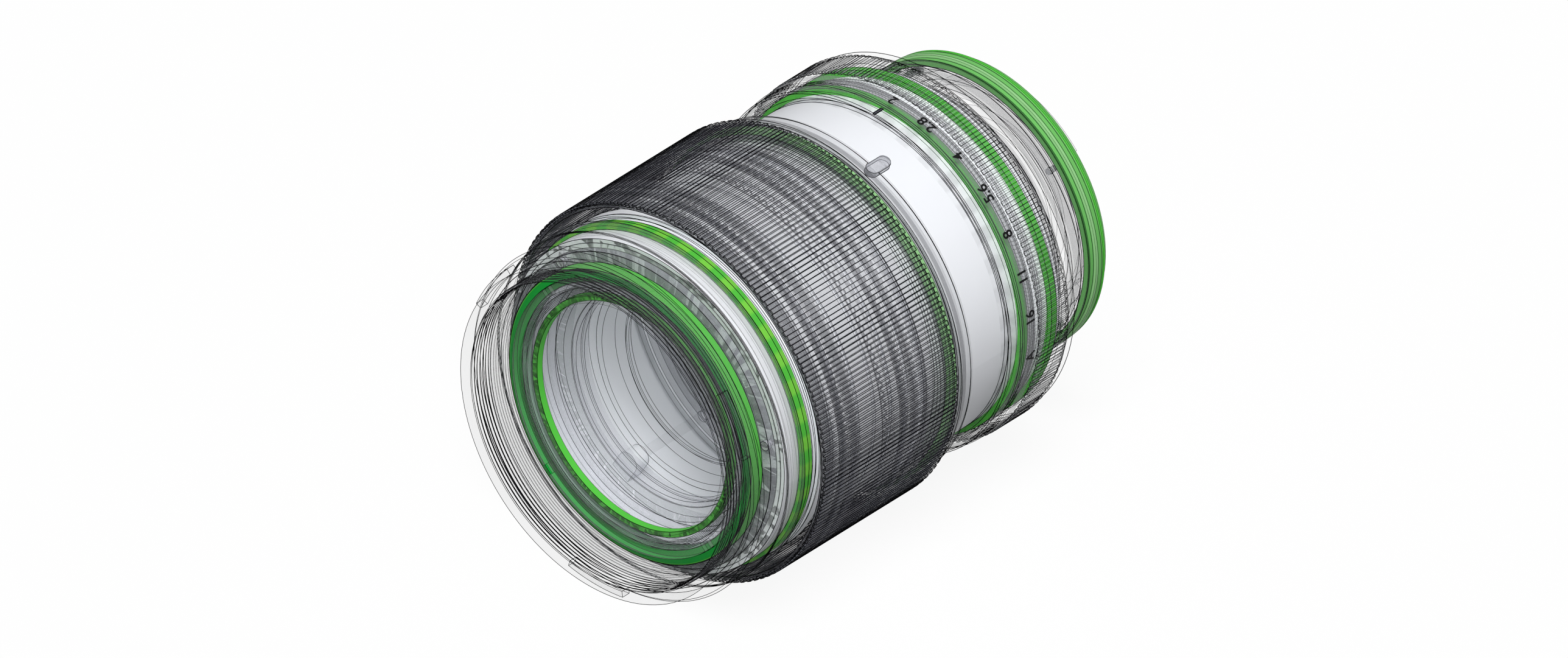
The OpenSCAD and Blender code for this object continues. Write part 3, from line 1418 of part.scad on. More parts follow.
module aperture_ring() {
  bearing_r = tube_r + running;
  flute_s = aperture_s + number_band_l;
  flute_e = flute_s + flute_l;
  rib_s = aperture_s + aperture_rib_place;
  track_s = click_s - click_track_l / 2;
  track_e = click_s + click_track_l / 2;
  color("whitesmoke")
  on_axis()
    difference() {
      union() {
        turned([[aperture_bore_r, aperture_s], [aperture_r - 0.2, aperture_s],
          [aperture_r, aperture_s + 0.3], [aperture_r, flute_s], [flute_floor_r, flute_s],
          [flute_floor_r, flute_e], [aperture_r, flute_e], [aperture_r - 0.2, aperture_e],
          [aperture_bore_r, aperture_e], [aperture_bore_r, track_e + aperture_rib_l],
          [bearing_r, track_e + aperture_rib_l], [bearing_r, track_e], [click_track_r, track_e],
          [click_track_r, track_s], [aperture_bore_r, track_s],
          [aperture_bore_r, rib_s + aperture_rib_l], [bearing_r, rib_s + aperture_rib_l],
          [bearing_r, rib_s], [aperture_bore_r, rib_s]]);
        translate([0, 0, flute_s])
          linear_extrude(height = flute_l)
            difference() {
              polygon(rib_outline(flutes, flute_r, flute_floor_r - 0.1));
              circle(r = flute_floor_r - 0.4);
            }
      }
      for (i = concat([for (n = [0 : clicks]) n], [automatic_click]))
        at_clock(180 + i * click_angle)
          translate([click_track_r + click_notch - click_ball_r, 0, track_s])
            cylinder(r = click_ball_r, h = click_track_l);
    }
}

module aperture_seals() {
  color("limegreen")
  on_axis()
    for (start = [front_aperture_seal_s, rear_aperture_seal_s])
      ring(tube_r - seal_groove + cement, aperture_seal_r, start + cement,
        start + aperture_seal_l - cement);
}

module click_spring() {
  color("silver")
  on_axis()
    click_place(click_spring_s)
      difference() {
        cylinder(r = click_ball_r - 0.1, h = click_spring_l);
        translate([0, 0, -over]) cylinder(r = click_ball_r - 0.4, h = click_spring_l + 2 * over);
      }
}

module click_ball() {
  color("silver") on_axis() click_place(click_ball_place_r) sphere(r = click_ball_r);
}

module mount_screw_places() {
  for (i = [0 : mount_screw_count - 1])
    at_clock(45 + i * 360 / mount_screw_count) translate([screw_circle_r, 0, 0]) children();
}

module rear_barrel() {
  shoulder_r = tube_bore_r - 0.2;
  line_s = rear_s + neck_s + neck_line_s;
  color("whitesmoke")
  on_axis()
    difference() {
      turned([[tube_r + fit, rear_s], [rear_r, rear_s], [rear_r, rear_s + rear_rim_l],
        [cone_start_r, rear_s + cone_start_s], [cone_end_r, rear_s + cone_end_s],
        [neck_r + 0.4, rear_s + neck_s], [neck_r + 0.4, line_s - 0.4], [neck_r, line_s],
        [neck_r, mount_seal_s - fit], [mount_seal_bore_r - fit, mount_seal_s - fit],
        [mount_seal_bore_r - fit, rear_e], [rear_inner_bore_r, rear_e],
        [rear_inner_bore_r, inner_flange_s],
        [neck_bore_r, inner_flange_s], [neck_bore_r, board_seat_s], [board_seat_r, board_seat_s],
        [board_seat_r, board_seat_s - main_board_t - board_room], [shoulder_r, rear_s + shoulder_l],
        [shoulder_r, tube_e], [tube_r + fit, tube_e]]);
      mount_screw_places() disc(screw_r + fit, rear_e - screw_l, rear_e + over);
    }
}

module main_board() {
  color("darkgreen")
  on_axis()
    difference() {
      ring(main_board_r - main_board_w, main_board_r, board_seat_s - main_board_t, board_seat_s);
      for (clock = [0, 120, 240])
        at_clock(clock)
          translate([board_seat_r - 1.4, 0, 0])
            disc(0.7, board_seat_s - main_board_t - over, board_seat_s + over);
    }
}

module flex_cable() {
  color("orange")
  on_axis()
    arc_piece(flex_place_r, flex_place_r + flex_t, board_seat_s, contact_foot_s, 180, flex_span);
}

module mount_seal() {
  lip_bore = flange_r + fit;
  slope = 0.2;
  front_e = mount_seal_s + mount_seal_front_l;
  band_e = front_e + slope + mount_seal_band_l;
  groove_r = mount_seal_r - 0.3;
  groove_e = band_e + slope + mount_seal_groove_l;
  color("limegreen")
  on_axis()
    turned([[mount_seal_bore_r, mount_seal_s], [mount_seal_front_r, mount_seal_s],
      [mount_seal_front_r, front_e], [mount_seal_r, front_e + slope], [mount_seal_r, band_e],
      [groove_r, band_e + slope], [groove_r, groove_e], [groove_r + slope, groove_e + slope],
      [mount_seal_lip_r, overall_l - fit], [lip_bore, overall_l - fit], [lip_bore, rear_e],
      [mount_seal_bore_r, rear_e]]);
}

module bayonet_mount() {
  bore = bayonet_r - bayonet_wall;
  color("silver")
  on_axis()
    difference() {
      union() {
        turned([[bore, rear_e], [flange_r, rear_e], [flange_r, overall_l],
          [contact_face_r, overall_l], [contact_face_r, flange_face_s],
          [bayonet_r, flange_face_s], [bayonet_r, bayonet_e], [bore, bayonet_e]]);
        for (i = [0 : lugs - 1])
          arc_piece(bayonet_r - 0.2, lug_r, overall_l + lug_s, overall_l + lug_s + lug_t,
            lug_first + i * 360 / lugs, lug_angle);
      }
      mount_screw_places() {
        disc(screw_r + fit, rear_e - over, overall_l + over);
        disc(screw_head_r + fit, overall_l - screw_seat, overall_l + over);
      }
      at_clock(lock_angle)
        translate([screw_circle_r, 0, 0])
          disc(lock_hole_r, overall_l - lock_hole_l, overall_l + over);
    }
}

module mount_screws() {
  head_t = screw_seat - 0.1;
  color("gainsboro")
  on_axis()
    mount_screw_places()
      difference() {
        union() {
          disc(screw_head_r, overall_l - screw_seat, overall_l - screw_seat + head_t);
          disc(screw_r, rear_e - screw_l + 0.4, overall_l - screw_seat);
        }
        for (turn = [0, 90])
          rotate([0, 0, turn])
            translate([-0.6, -0.13, overall_l - screw_seat + head_t - 0.4]) cube([1.2, 0.26, 1]);
      }
}

module contact_block() {
  inner = contact_block_r - contact_block_w;
  color("dimgray")
  on_axis()
    union() {
      arc_piece(inner, contact_block_r, contact_foot_s, contact_block_e, 180, contact_span);
      arc_piece(inner, contact_foot_r, contact_foot_s, rear_e, 180, contact_span);
    }
}

module contact_pins() {
  color("gold")
  on_axis()
    for (i = [0 : contacts - 1])
      at_clock(180 + (i - (contacts - 1) / 2) * contact_angle)
        translate([contact_block_r - contact_block_w / 2, 0, 0])
          disc(contact_r, contact_block_e, contact_block_e + contact_h);
}

filter_ring();
name_ring();
front_barrel();
front_cover_seal();
front_retaining_ring();
front_element_seal();
front_cell();
front_cell_screws();
element_1();
front_cell_rings();
element_2();
element_3();
element_4();
element_5_holder();
element_5();
main_tube();
focus_front_seal();
focus_rear_seal();
focus_sensor_board();
focus_ring();
focus_grip();
iris_cover();
iris_motor();
iris_pinion();
iris_drive_ring();
iris_blade_1();
iris_blade_2();
iris_blade_3();
iris_blade_4();
iris_blade_5();
iris_blade_6();
iris_blade_7();
iris_base();
guide_rods();
motor_yokes();
motor_magnets();
motor_coils();
focus_carrier();
element_6();
element_7();
rear_cell();
element_8();
element_9();
element_10();
rear_baffle();
element_11();
fixed_barrel();
barrel_key();
aperture_ring();
aperture_seals();
click_spring();
click_ball();
rear_barrel();
main_board();
flex_cable();
mount_seal();
bayonet_mount();
mount_screws();
contact_block();
contact_pins();
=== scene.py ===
"""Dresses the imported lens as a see-through technical drawing.

The outer shells and the glass are clear, the seals are green, the main tube and the cells are pale,
and every edge of every piece carries a fine ink line. The aperture numbers and the index are painted.
Sizes are in metres. The lens axis is Y, the front is towards -Y, and the mount flange lies in the
plane Y = 0.
"""

import math

import bmesh
import bpy
from bpy.props import (
    FloatProperty,
    FloatVectorProperty,
    IntProperty,
    PointerProperty,
    StringProperty,
)
from mathutils import Matrix, Vector


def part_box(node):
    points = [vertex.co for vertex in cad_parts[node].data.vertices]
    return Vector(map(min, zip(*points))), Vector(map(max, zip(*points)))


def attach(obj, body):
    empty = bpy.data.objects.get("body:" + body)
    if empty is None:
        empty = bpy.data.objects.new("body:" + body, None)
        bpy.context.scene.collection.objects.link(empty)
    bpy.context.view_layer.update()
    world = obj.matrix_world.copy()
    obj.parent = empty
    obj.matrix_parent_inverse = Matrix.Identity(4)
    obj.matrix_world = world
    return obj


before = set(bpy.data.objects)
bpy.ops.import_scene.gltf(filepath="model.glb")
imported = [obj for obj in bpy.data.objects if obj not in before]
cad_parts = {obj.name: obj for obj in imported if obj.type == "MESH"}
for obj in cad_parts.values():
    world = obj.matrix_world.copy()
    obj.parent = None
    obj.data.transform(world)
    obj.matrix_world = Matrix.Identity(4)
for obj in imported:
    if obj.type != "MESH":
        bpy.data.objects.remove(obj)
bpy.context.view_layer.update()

bl_info = {
    "name": "See-through Lens",
    "version": (1, 0, 0),
    "blender": (4, 5, 0),
    "location": "View3D > Sidebar > Lens",
    "description": "Finishes a short telephoto prime lens as a see-through technical drawing",
    "category": "Object",
}

MM = 0.001
FRONT_RIM_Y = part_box("filter_ring")[0].y
LOWEST_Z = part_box("focus_grip")[0].z

# The aperture ring's number band, and the print on it: height over the band, half thickness, boldness,
# height of a capital as a share of the type size, and steps to a curve
NUMBER_BAND_R = 36.2 * MM
PRINT_LIFT = 0.03 * MM
PRINT_DEPTH = 0.02 * MM
PRINT_BOLDNESS = 0.05 * MM
CAPITAL_SHARE = 0.7
PRINT_STEPS = 4

# The index groove's floor, and the paint in it: heights over the floor, ends, width, steps round
INDEX_FLOOR_R = 35.7 * MM
INDEX_PAINT_HEIGHTS = (0.005 * MM, 0.08 * MM)
INDEX_ENDS_Y = (FRONT_RIM_Y + 71.05 * MM, FRONT_RIM_Y + 73.25 * MM)
INDEX_WIDTH = 0.36 * MM
INDEX_STEPS = 6

# Counts round the lens and along it
GRIP_RIBS = 126
APERTURE_FLUTES = 137
SOFT_PATCHES = 38
IRIS_BLADES = 7
ELEMENTS = 11

# How close two points lie that are one: on the CAD pieces and on the print
WELD = 1e-6
PRINT_WELD = 1e-7

# How sharply the masks of the shader groups end
BAND_SHARPNESS = 20.0
RIB_SHARPNESS = 6.0
PATCH_SHARPNESS = 1.2

# The grain of the finishes: clouds and grains per metre, and what they do to roughness and relief
TURNED_CLOUDS = 140.0
TURNED_GRAINS = 2400.0
TURNED_MARK_HEIGHT = 0.5
TURNED_GRAIN_HEIGHT = 0.6
TURNED_ROUGHNESS_SPREAD = 0.12
RUBBER_CLOUDS = 220.0
RUBBER_GRAINS = 3000.0
RUBBER_ROUGHNESS = 0.4
RUBBER_ROUGHNESS_SPREAD = 0.25
RUBBER_RELIEF = 0.06
RUBBER_GLOSS = 0.2
RELIEF_DEPTH = 0.01 * MM

# The camera's distance and clipping, the lamps and the floor
CAMERA_DISTANCE = 0.6
CLIP_START = 0.01
CLIP_END = 5
KEY_TOWARDS = (0.25, -0.31, 0.91)
KEY_SPREAD = math.radians(30)
FRONT_TO_RIGHT = 0.12
FRONT_UPWARDS = 0.1
FRONT_SPREAD = math.radians(12)
BORE_LAMP_RADIUS = 8 * MM
FLOOR_HALF = 1.5
FLOOR_SEEN = 0.95
FLOOR_UNSEEN = 0.25
FLOOR_WHITE_SHARE = 0.9

# The finish of every CAD node
FINISHES = {
    "clear shell": ["filter_ring", "name_ring"],
    "front shell": ["front_barrel"],
    "rear shell": ["rear_barrel"],
    "clear ring": ["element_5_holder", "front_cell_rings"],
    "focus shell": ["focus_ring"],
    "retaining ring": ["front_retaining_ring"],
    "fixed shell": ["fixed_barrel"],
    "numbered shell": ["aperture_ring"],
    "smoky grip": ["focus_grip"],
    "front cell": ["front_cell"],
    "pale cell": ["rear_cell"],
    "white tube": ["main_tube"],
    "seal with painted shade": ["front_cover_seal"],
    "green seal": ["front_element_seal", "aperture_seals"],
    "pale seal": ["focus_rear_seal"],
    "mount seal": ["mount_seal"],
    "patched seal": ["focus_front_seal"],
    "lens glass": ["element_%d" % number for number in range(1, ELEMENTS + 1)],
    "smoky steel": ["iris_blade_%d" % number for number in range(1, IRIS_BLADES + 1)],
    "iris ring": ["iris_drive_ring", "iris_cover"],
    "clear metal": ["iris_base", "focus_carrier", "rear_baffle", "bayonet_mount", "guide_rods",
                    "iris_motor", "motor_yokes", "motor_magnets", "motor_coils", "iris_pinion"],
    "bright steel": ["front_cell_screws", "mount_screws", "click_spring", "click_ball", "contact_pins"],
    "grey key": ["barrel_key"],
    "clear board": ["focus_sensor_board", "main_board", "flex_cable", "contact_block"],
}

# Smoky bands round the focus grip: from, to and added density, as millimetres behind the front rim
GRIP_BANDS = [
    (19.0, 22.6, 0.34), (24.3, 25.7, 0.5), (26.7, 29.1, 0.3), (35.8, 36.2, 0.5), (37.8, 38.2, 0.25),
    (40.5, 41.6, 0.45), (43.3, 44.8, 0.3), (46.1, 47.4, 0.22), (52.6, 53.3, 0.15),
]

# Every see-through finish: its colour, its roughness, how dense it is, and the places where it is
# denser, each as an added density and its limits. Stations are millimetres behind the front rim.
SEE_THROUGH = {
    "clear shell": ("shell", 0.3, 0.07, []),
    "front shell": ("grip", 0.3, 0.03, [
        (0.25, {"Station": (16, 17.4)}), (0.3, {"Station": (13.1, 13.3)}),
        (0.4, {"Station": (14.6, 14.8)}), (0.12, {"Station": (14.8, 15.7)}),
        (0.4, {"Station": (15.7, 15.9)})]),
    "clear ring": ("shell", 0.3, 0.05, []),
    "retaining ring": ("ring", 0.4, 0.1, [(0.08, {"Radius": (26.4, 28)})]),
    "focus shell": ("grip", 0.3, 0.05, [(0.4, {"Station": (57.0, 57.6)})]),
    "fixed shell": ("grip", 0.3, 0.015, [
        (0.2, {"Station": (57.2, 61.1)}), (0.35, {"Station": (58.1, 59.0)}),
        (0.04, {"Station": (70.5, 73.7)}), (0.1, {"Station": (70.5, 73.7), "Patches": SOFT_PATCHES})]),
    "numbered shell": ("shell", 0.3, 0.03, [
        (0.42, {"Station": (74.85, 77.15)}),
        # Painted shade beside the walls of the flutes, deeper at their front end.
        (0.35, {"Station": (78.1, 85.4), "Ribs": (APERTURE_FLUTES, 0.35)}),
        (0.2, {"Station": (78.1, 79.7)})]),
    "rear shell": ("grip", 0.3, 0.03, [
        (0.35, {"Station": (89.9, 90.9)}), (0.25, {"Station": (92.6, 93.9)}),
        (0.2, {"Station": (95, 99)})]),
    "smoky grip": ("grip", 0.4, 0.18, [
        # Painted shade beside the walls of the grip's ribs.
        (0.1, {"Ribs": (GRIP_RIBS, 0.3)}),
        *[(density, {"Station": (low, high)}) for low, high, density in GRIP_BANDS]]),
    "front cell": ("cell", 0.4, 0.04, [
        (0.35, {"Station": (9, 15.5)}), (0.3, {"Station": (15.5, 21.5)})]),
    "pale cell": ("cell", 0.4, 0.05, []),
    "clear metal": ("metal", 0.4, 0.05, []),
    "clear board": ("metal", 0.5, 0.12, []),
    "smoky steel": ("metal", 0.4, 0.1, []),
    "iris ring": ("metal", 0.4, 0.22, []),
    "grey key": ("metal", 0.4, 0.4, []),
}

# Every rubber finish: its colour, and the places that have another, some of them painted shade and painted
# highlights
RUBBERS = {
    "green seal": ("seal", []),
    "pale seal": ("pale_seal", []),
    # The cover seal's deeper green is painted shade on its front face; past 28.9 mm out from the axis it
    # keeps the plain seal green.
    "seal with painted shade": ("cover_seal", [("seal", {"Radius": (28.9, 40)})]),
    # The mount seal's dark rings and dark band are painted shade in its grooves; its pale band and its band
    # of brighter green are painted highlights.
    "mount seal": ("mount_seal", [
        ("seal_groove", {"Rings": (0.9, 0.3)}), ("seal_groove", {"Station": (99.4, 100.0)}),
        ("pale_seal", {"Station": (100.9, 101.6)}), ("seal", {"Station": (103.2, 105)})]),
    "patched seal": ("seal", [("seal_patch", {"Patches": SOFT_PATCHES})]),
}

# Which CAD nodes share one set of ink lines, by the body that they ride on
INK_GROUPS = {
    "filter_ring_edges": ("barrel", "rim", ["filter_ring"]),
    "name_ring_edges": ("barrel", "faint", ["name_ring"]),
    "front_barrel_edges": ("barrel", "rim", ["front_barrel"]),
    "front_seal_edges": ("barrel", "fine", ["front_cover_seal", "front_element_seal",
                                            "focus_front_seal"]),
    "retaining_ring_edges": ("barrel", "faint", ["front_retaining_ring"]),
    "front_cell_edges": ("barrel", "fine", ["front_cell", "front_cell_rings", "front_cell_screws",
                                            "element_5_holder", "focus_sensor_board"]),
    "main_tube_edges": ("barrel", "fine", ["main_tube"]),
    "fixed_barrel_edges": ("barrel", "heavy", ["fixed_barrel", "focus_rear_seal"]),
    "barrel_key_edges": ("barrel", "faint", ["barrel_key"]),
    "rear_barrel_edges": ("barrel", "heavy", ["rear_barrel", "aperture_seals"]),
    "mount_edges": ("barrel", "faint", ["bayonet_mount", "mount_seal", "mount_screws", "contact_block",
                                        "contact_pins"]),
    "iris_housing_edges": ("barrel", "fine", ["iris_cover", "iris_base", "iris_motor"]),
    "motor_edges": ("barrel", "fine", ["motor_yokes", "motor_magnets", "guide_rods"]),
    "rear_cell_edges": ("barrel", "faint", ["rear_cell", "rear_baffle", "main_board", "flex_cable"]),
    "glass_edges": ("barrel", "faint", ["element_1", "element_2", "element_3", "element_4", "element_5",
                                        "element_8", "element_9", "element_10", "element_11"]),
    "focus_ring_edges": ("focus_control", "heavy", ["focus_ring"]),
    "focus_grip_edges": ("focus_control", "grip", ["focus_grip"]),
    "aperture_ring_edges": ("aperture_control", "fine", ["aperture_ring"]),
    "focusing_group_edges": ("focusing_group", "fine", ["focus_carrier", "motor_coils", "element_6",
                                                        "element_7"]),
    "drive_ring_edges": ("iris_drive", "fine", ["iris_drive_ring"]),
    "pinion_edges": ("iris_gear", "fine", ["iris_pinion"]),
}
INK_GROUPS.update({
    "blade_%d_edges" % number: ("blade_%d" % number, "fine", ["iris_blade_%d" % number])
    for number in range(1, IRIS_BLADES + 1)
})


def shade(red, green, blue):
    """A linear colour from the usual 0 to 255 values."""
    parts = [value / 255 for value in (red, green, blue)]
    return [p / 12.92 if p <= 0.04045 else ((p + 0.055) / 1.055) ** 2.4 for p in parts]


def colour_setting(name, description, value):
    return FloatVectorProperty(name=name, description=description, subtype="COLOR", size=3, min=0, max=1,
                               default=value)


def width_setting(name, description, radius):
    return FloatProperty(name=name, description=description, default=radius * MM, min=0.01 * MM,
                         max=0.3 * MM, unit="LENGTH", precision=6)


class LensColours(bpy.types.PropertyGroup):
    """The colours of the finishes."""

    seal: colour_setting("Seal", "Green of the weather seals", shade(84, 192, 66))
    # Painted shade: this deeper green stands for the shade on the cover seal's front face.
    cover_seal: colour_setting("Cover seal", "Deeper green of the large seal behind the front rim",
                               shade(10, 162, 54))
    pale_seal: colour_setting("Pale seal", "Washed green of the focus ring's rear seal",
                              shade(150, 206, 140))
    mount_seal: colour_setting("Mount seal", "Green of the seal on the mount flange",
                               shade(112, 190, 100))
    # Painted shade: this dark green stands for the shade in the mount seal's grooves.
    seal_groove: colour_setting("Seal groove shade", "Dark green of the mount seal's grooves",
                                shade(50, 104, 48))
    seal_patch: colour_setting("Seal patch", "Yellow green of the focus seal's patches",
                               shade(122, 208, 72))
    tube: colour_setting("Main tube", "Pale blue white of the main tube", shade(247, 249, 254))
    cell: colour_setting("Cells", "Blue grey of the element cells", shade(172, 173, 184))
    shell: colour_setting("Shells", "Tint of the clear shells", shade(118, 119, 124))
    ring: colour_setting("Retaining ring", "Tint of the ring in front of the first element",
                         shade(150, 154, 152))
    grip: colour_setting("Grip", "Smoky tint of the focus grip", shade(72, 73, 80))
    metal: colour_setting("Metal", "Tint of the inner metal pieces", shade(134, 136, 146))
    steel: colour_setting("Steel", "Grey of screws, balls and springs", shade(215, 216, 220))
    glass: colour_setting("Glass", "Tint of the lens elements", shade(225, 232, 240))
    ink: colour_setting("Ink", "Colour of the edge lines and numbers", shade(9, 9, 10))


class LensSizes(bpy.types.PropertyGroup):
    """Sizes of the ink lines and of the printed numbers."""

    heavy_line: width_setting("Heavy line", "Radius of the lines on the outer shells", 0.07)
    rim_line: width_setting("Rim line", "Radius of the lines on the front rim and the front barrel", 0.058)
    grip_line: width_setting("Grip line", "Radius of the lines on the focus grip", 0.08)
    fine_line: width_setting("Fine line", "Radius of the lines on the inner pieces", 0.05)
    faint_line: width_setting("Faint line", "Radius of the lines on the glass, the rear cell and the mount",
                              0.03)
    line_sides: IntProperty(name="Line sides", description="Sides of each ink line's section",
                            default=3, min=3, max=8)
    edge_angle: FloatProperty(name="Edge angle", default=math.radians(24), min=0.05, max=1.5,
                              subtype="ANGLE", description="Smallest angle between faces that gets a line")
    number_height: FloatProperty(name="Number height", description="Height of the aperture numbers",
                                 default=2.1 * MM, min=1 * MM, max=3 * MM, unit="LENGTH", precision=5)
    number_station: FloatProperty(name="Number station", default=77.05 * MM, min=75 * MM, max=78 * MM,
                                  unit="LENGTH", precision=5,
                                  description="Distance from the front rim to the numbers")
    number_step: FloatProperty(name="Number step", description="Angle from one full stop to the next",
                               default=math.radians(13.2), min=0.05, max=0.5, subtype="ANGLE")
    numbers: StringProperty(name="Numbers", description="Stops from the widest to the automatic setting",
                            default="2 2.8 4 5.6 8 11 16 A")


class LensStage(bpy.types.PropertyGroup):
    """The camera, the lamps and the floor."""

    azimuth: FloatProperty(name="Azimuth", description="Angle of the camera round the lens",
                           default=math.radians(39.632), subtype="ANGLE")
    elevation: FloatProperty(name="Elevation", description="Angle of the camera above the floor",
                             default=math.radians(36.755), subtype="ANGLE")
    roll: FloatProperty(name="Roll", description="Turn of the camera about its own view",
                        default=math.radians(4.115), subtype="ANGLE")
    frame_width: FloatProperty(name="Frame width", description="Width of the view on the lens",
                               default=0.28106, unit="LENGTH")
    rim_right: FloatProperty(name="Rim offset right", default=-33.46 * MM, unit="LENGTH", precision=5,
                             description="Front rim's centre, right of the frame's middle")
    rim_up: FloatProperty(name="Rim offset up", default=-19.42 * MM, unit="LENGTH", precision=5,
                          description="Front rim's centre, above the frame's middle")
    key_strength: FloatProperty(name="Key lamp", description="Strength of the lamp above the lens",
                                default=2.5, min=0, max=10)
    front_strength: FloatProperty(name="Front lamp", description="Strength of the lamp beside the camera",
                                  default=0.8, min=0, max=10)
    sky_strength: FloatProperty(name="Sky", description="Strength of the even light from all sides",
                                default=0.08, min=0, max=2)
    bore_power: FloatProperty(name="Bore lamp", default=0.008, min=0, max=1, unit="POWER", precision=4,
                              description="Power of the small soft lamp inside the main tube")
    bore_station: FloatProperty(name="Bore lamp place", default=57 * MM, min=0, max=0.1, unit="LENGTH",
                                description="Distance from the front rim to that lamp")


def settings():
    scene = bpy.context.scene
    return scene.lens_colours, scene.lens_sizes, scene.lens_stage


def socket(group, name, kind, way, value=None):
    made = group.interface.new_socket(name=name, in_out=way, socket_type="NodeSocket" + kind)
    if value is not None:
        made.default_value = value


def node(tree, kind, inputs=None, **attributes):
    """Adds a node with attributes; its inputs, by name or number, get values or sockets to link."""
    made = tree.nodes.new(kind)
    for name, value in attributes.items():
        setattr(made, name, value)
    for key, value in (inputs or {}).items():
        if isinstance(value, bpy.types.NodeSocket):
            tree.links.new(value, made.inputs[key])
        else:
            made.inputs[key].default_value = value
    return made


def maths(tree, operation, first, second=0.0, clamp=False):
    made = node(tree, "ShaderNodeMath", {0: first, 1: second}, operation=operation, use_clamp=clamp)
    return made.outputs[0]


def shader_group(name, inputs, outputs):
    """A new shader group with its sockets, its input node and its output node."""
    group = bpy.data.node_groups.new(name, "ShaderNodeTree")
    for title, kind, value in inputs:
        socket(group, title, kind, "INPUT", value)
    for title, kind in outputs:
        socket(group, title, kind, "OUTPUT")
    return group, group.nodes.new("NodeGroupInput"), group.nodes.new("NodeGroupOutput")


def lens_place_group():
    """Where a point lies: millimetres behind the front rim, millimetres from the axis, clock angle."""
    if "Lens place" in bpy.data.node_groups:
        return bpy.data.node_groups["Lens place"]
    group, _, out = shader_group(
        "Lens place", [], [("Station", "Float"), ("Radius", "Float"), ("Clock", "Float")])
    axes = node(group, "ShaderNodeSeparateXYZ", {0: node(group, "ShaderNodeTexCoord").outputs["Object"]})
    x, y, z = axes.outputs
    station = maths(group, "DIVIDE", maths(group, "SUBTRACT", y, FRONT_RIM_Y), MM)
    square = maths(group, "ADD", maths(group, "MULTIPLY", x, x), maths(group, "MULTIPLY", z, z))
    radius = maths(group, "DIVIDE", maths(group, "SQRT", square), MM)
    group.links.new(station, out.inputs["Station"])
    group.links.new(radius, out.inputs["Radius"])
    group.links.new(maths(group, "ARCTAN2", x, z), out.inputs["Clock"])
    return group


def band_group():
    """A mask that is 1 where a value lies between two limits."""
    if "Band" in bpy.data.node_groups:
        return bpy.data.node_groups["Band"]
    group, into, out = shader_group(
        "Band", [("Value", "Float", 0.0), ("Low", "Float", 0.0), ("High", "Float", 1.0)],
        [("Mask", "Float")])
    above = maths(group, "SUBTRACT", into.outputs["Value"], into.outputs["Low"])
    below = maths(group, "SUBTRACT", into.outputs["High"], into.outputs["Value"])
    inside = maths(group, "MULTIPLY", maths(group, "MINIMUM", above, below), BAND_SHARPNESS)
    group.links.new(maths(group, "ADD", inside, 0.5, clamp=True), out.inputs["Mask"])
    return group


def rib_wall_shade_group():
    """A mask that is 1 beside the walls of the ribs round the lens, or along rings on it, where painted
    shade goes.
    """
    if "Rib wall shade" in bpy.data.node_groups:
        return bpy.data.node_groups["Rib wall shade"]
    group, into, out = shader_group(
        "Rib wall shade", [("Clock", "Float", 0.0), ("Ribs", "Float", 100.0), ("Width", "Float", 0.25)],
        [("Mask", "Float")])
    turn = maths(group, "MULTIPLY", into.outputs["Clock"], into.outputs["Ribs"])
    off = maths(group, "ABSOLUTE", maths(group, "SINE", turn))
    beside = maths(group, "MULTIPLY", maths(group, "SUBTRACT", into.outputs["Width"], off), RIB_SHARPNESS)
    group.links.new(maths(group, "ADD", beside, 0.5, clamp=True), out.inputs["Mask"])
    return group


def patch_group():
    """A mask of soft patches spread evenly round the lens."""
    if "Patches" in bpy.data.node_groups:
        return bpy.data.node_groups["Patches"]
    group, into, out = shader_group(
        "Patches", [("Clock", "Float", 0.0), ("Count", "Float", float(SOFT_PATCHES))],
        [("Mask", "Float")])
    wave = maths(group, "SINE", maths(group, "MULTIPLY", into.outputs["Clock"], into.outputs["Count"]))
    soft = maths(group, "ADD", maths(group, "MULTIPLY", wave, PATCH_SHARPNESS), 0.5, clamp=True)
    group.links.new(soft, out.inputs["Mask"])
    return group


def place_mask(tree, limits):
    """A mask from limits.

    They are Station or Radius (low, high), Ribs (count, width), Rings (pitch, width) and Patches (count).
    """
    place = node(tree, "ShaderNodeGroup", {}, node_tree=lens_place_group())
    mask = None
    for kind, value in limits.items():
        source = "Station" if kind == "Rings" else "Clock"
        if kind in ("Station", "Radius"):
            part = node(tree, "ShaderNodeGroup", {}, node_tree=band_group())
            part.inputs["Low"].default_value, part.inputs["High"].default_value = value
            tree.links.new(place.outputs[kind], part.inputs["Value"])
        elif kind == "Patches":
            part = node(tree, "ShaderNodeGroup", {}, node_tree=patch_group())
            part.inputs["Count"].default_value = value
            tree.links.new(place.outputs[source], part.inputs["Clock"])
        else:
            # Ribs and Rings place painted shade beside rib walls and in grooves
            part = node(tree, "ShaderNodeGroup", {}, node_tree=rib_wall_shade_group())
            part.inputs["Ribs"].default_value = value[0] if kind == "Ribs" else math.pi / value[0]
            part.inputs["Width"].default_value = value[1]
            tree.links.new(place.outputs[source], part.inputs["Clock"])
        shown = part.outputs["Mask"]
        mask = shown if mask is None else maths(tree, "MULTIPLY", mask, shown)
    return mask


def shade_in_places(material, clear, places):
    """Makes a finish see-through, and denser in places: each is an added density and its limits."""
    tree = material.node_tree
    surface = next(item for item in tree.nodes if item.type == "BSDF_PRINCIPLED")
    surface.inputs["Alpha"].default_value = clear
    total = clear
    for density, limits in places:
        added = maths(tree, "MULTIPLY", place_mask(tree, limits), density)
        total = maths(tree, "ADD", added, total, clamp=True)
    if places:
        tree.links.new(total, surface.inputs["Alpha"])
    return material


def noise(group, place, scale, detail):
    made = node(group, "ShaderNodeTexNoise", {"Vector": place, "Scale": scale, "Detail": detail})
    return made.outputs["Fac"]


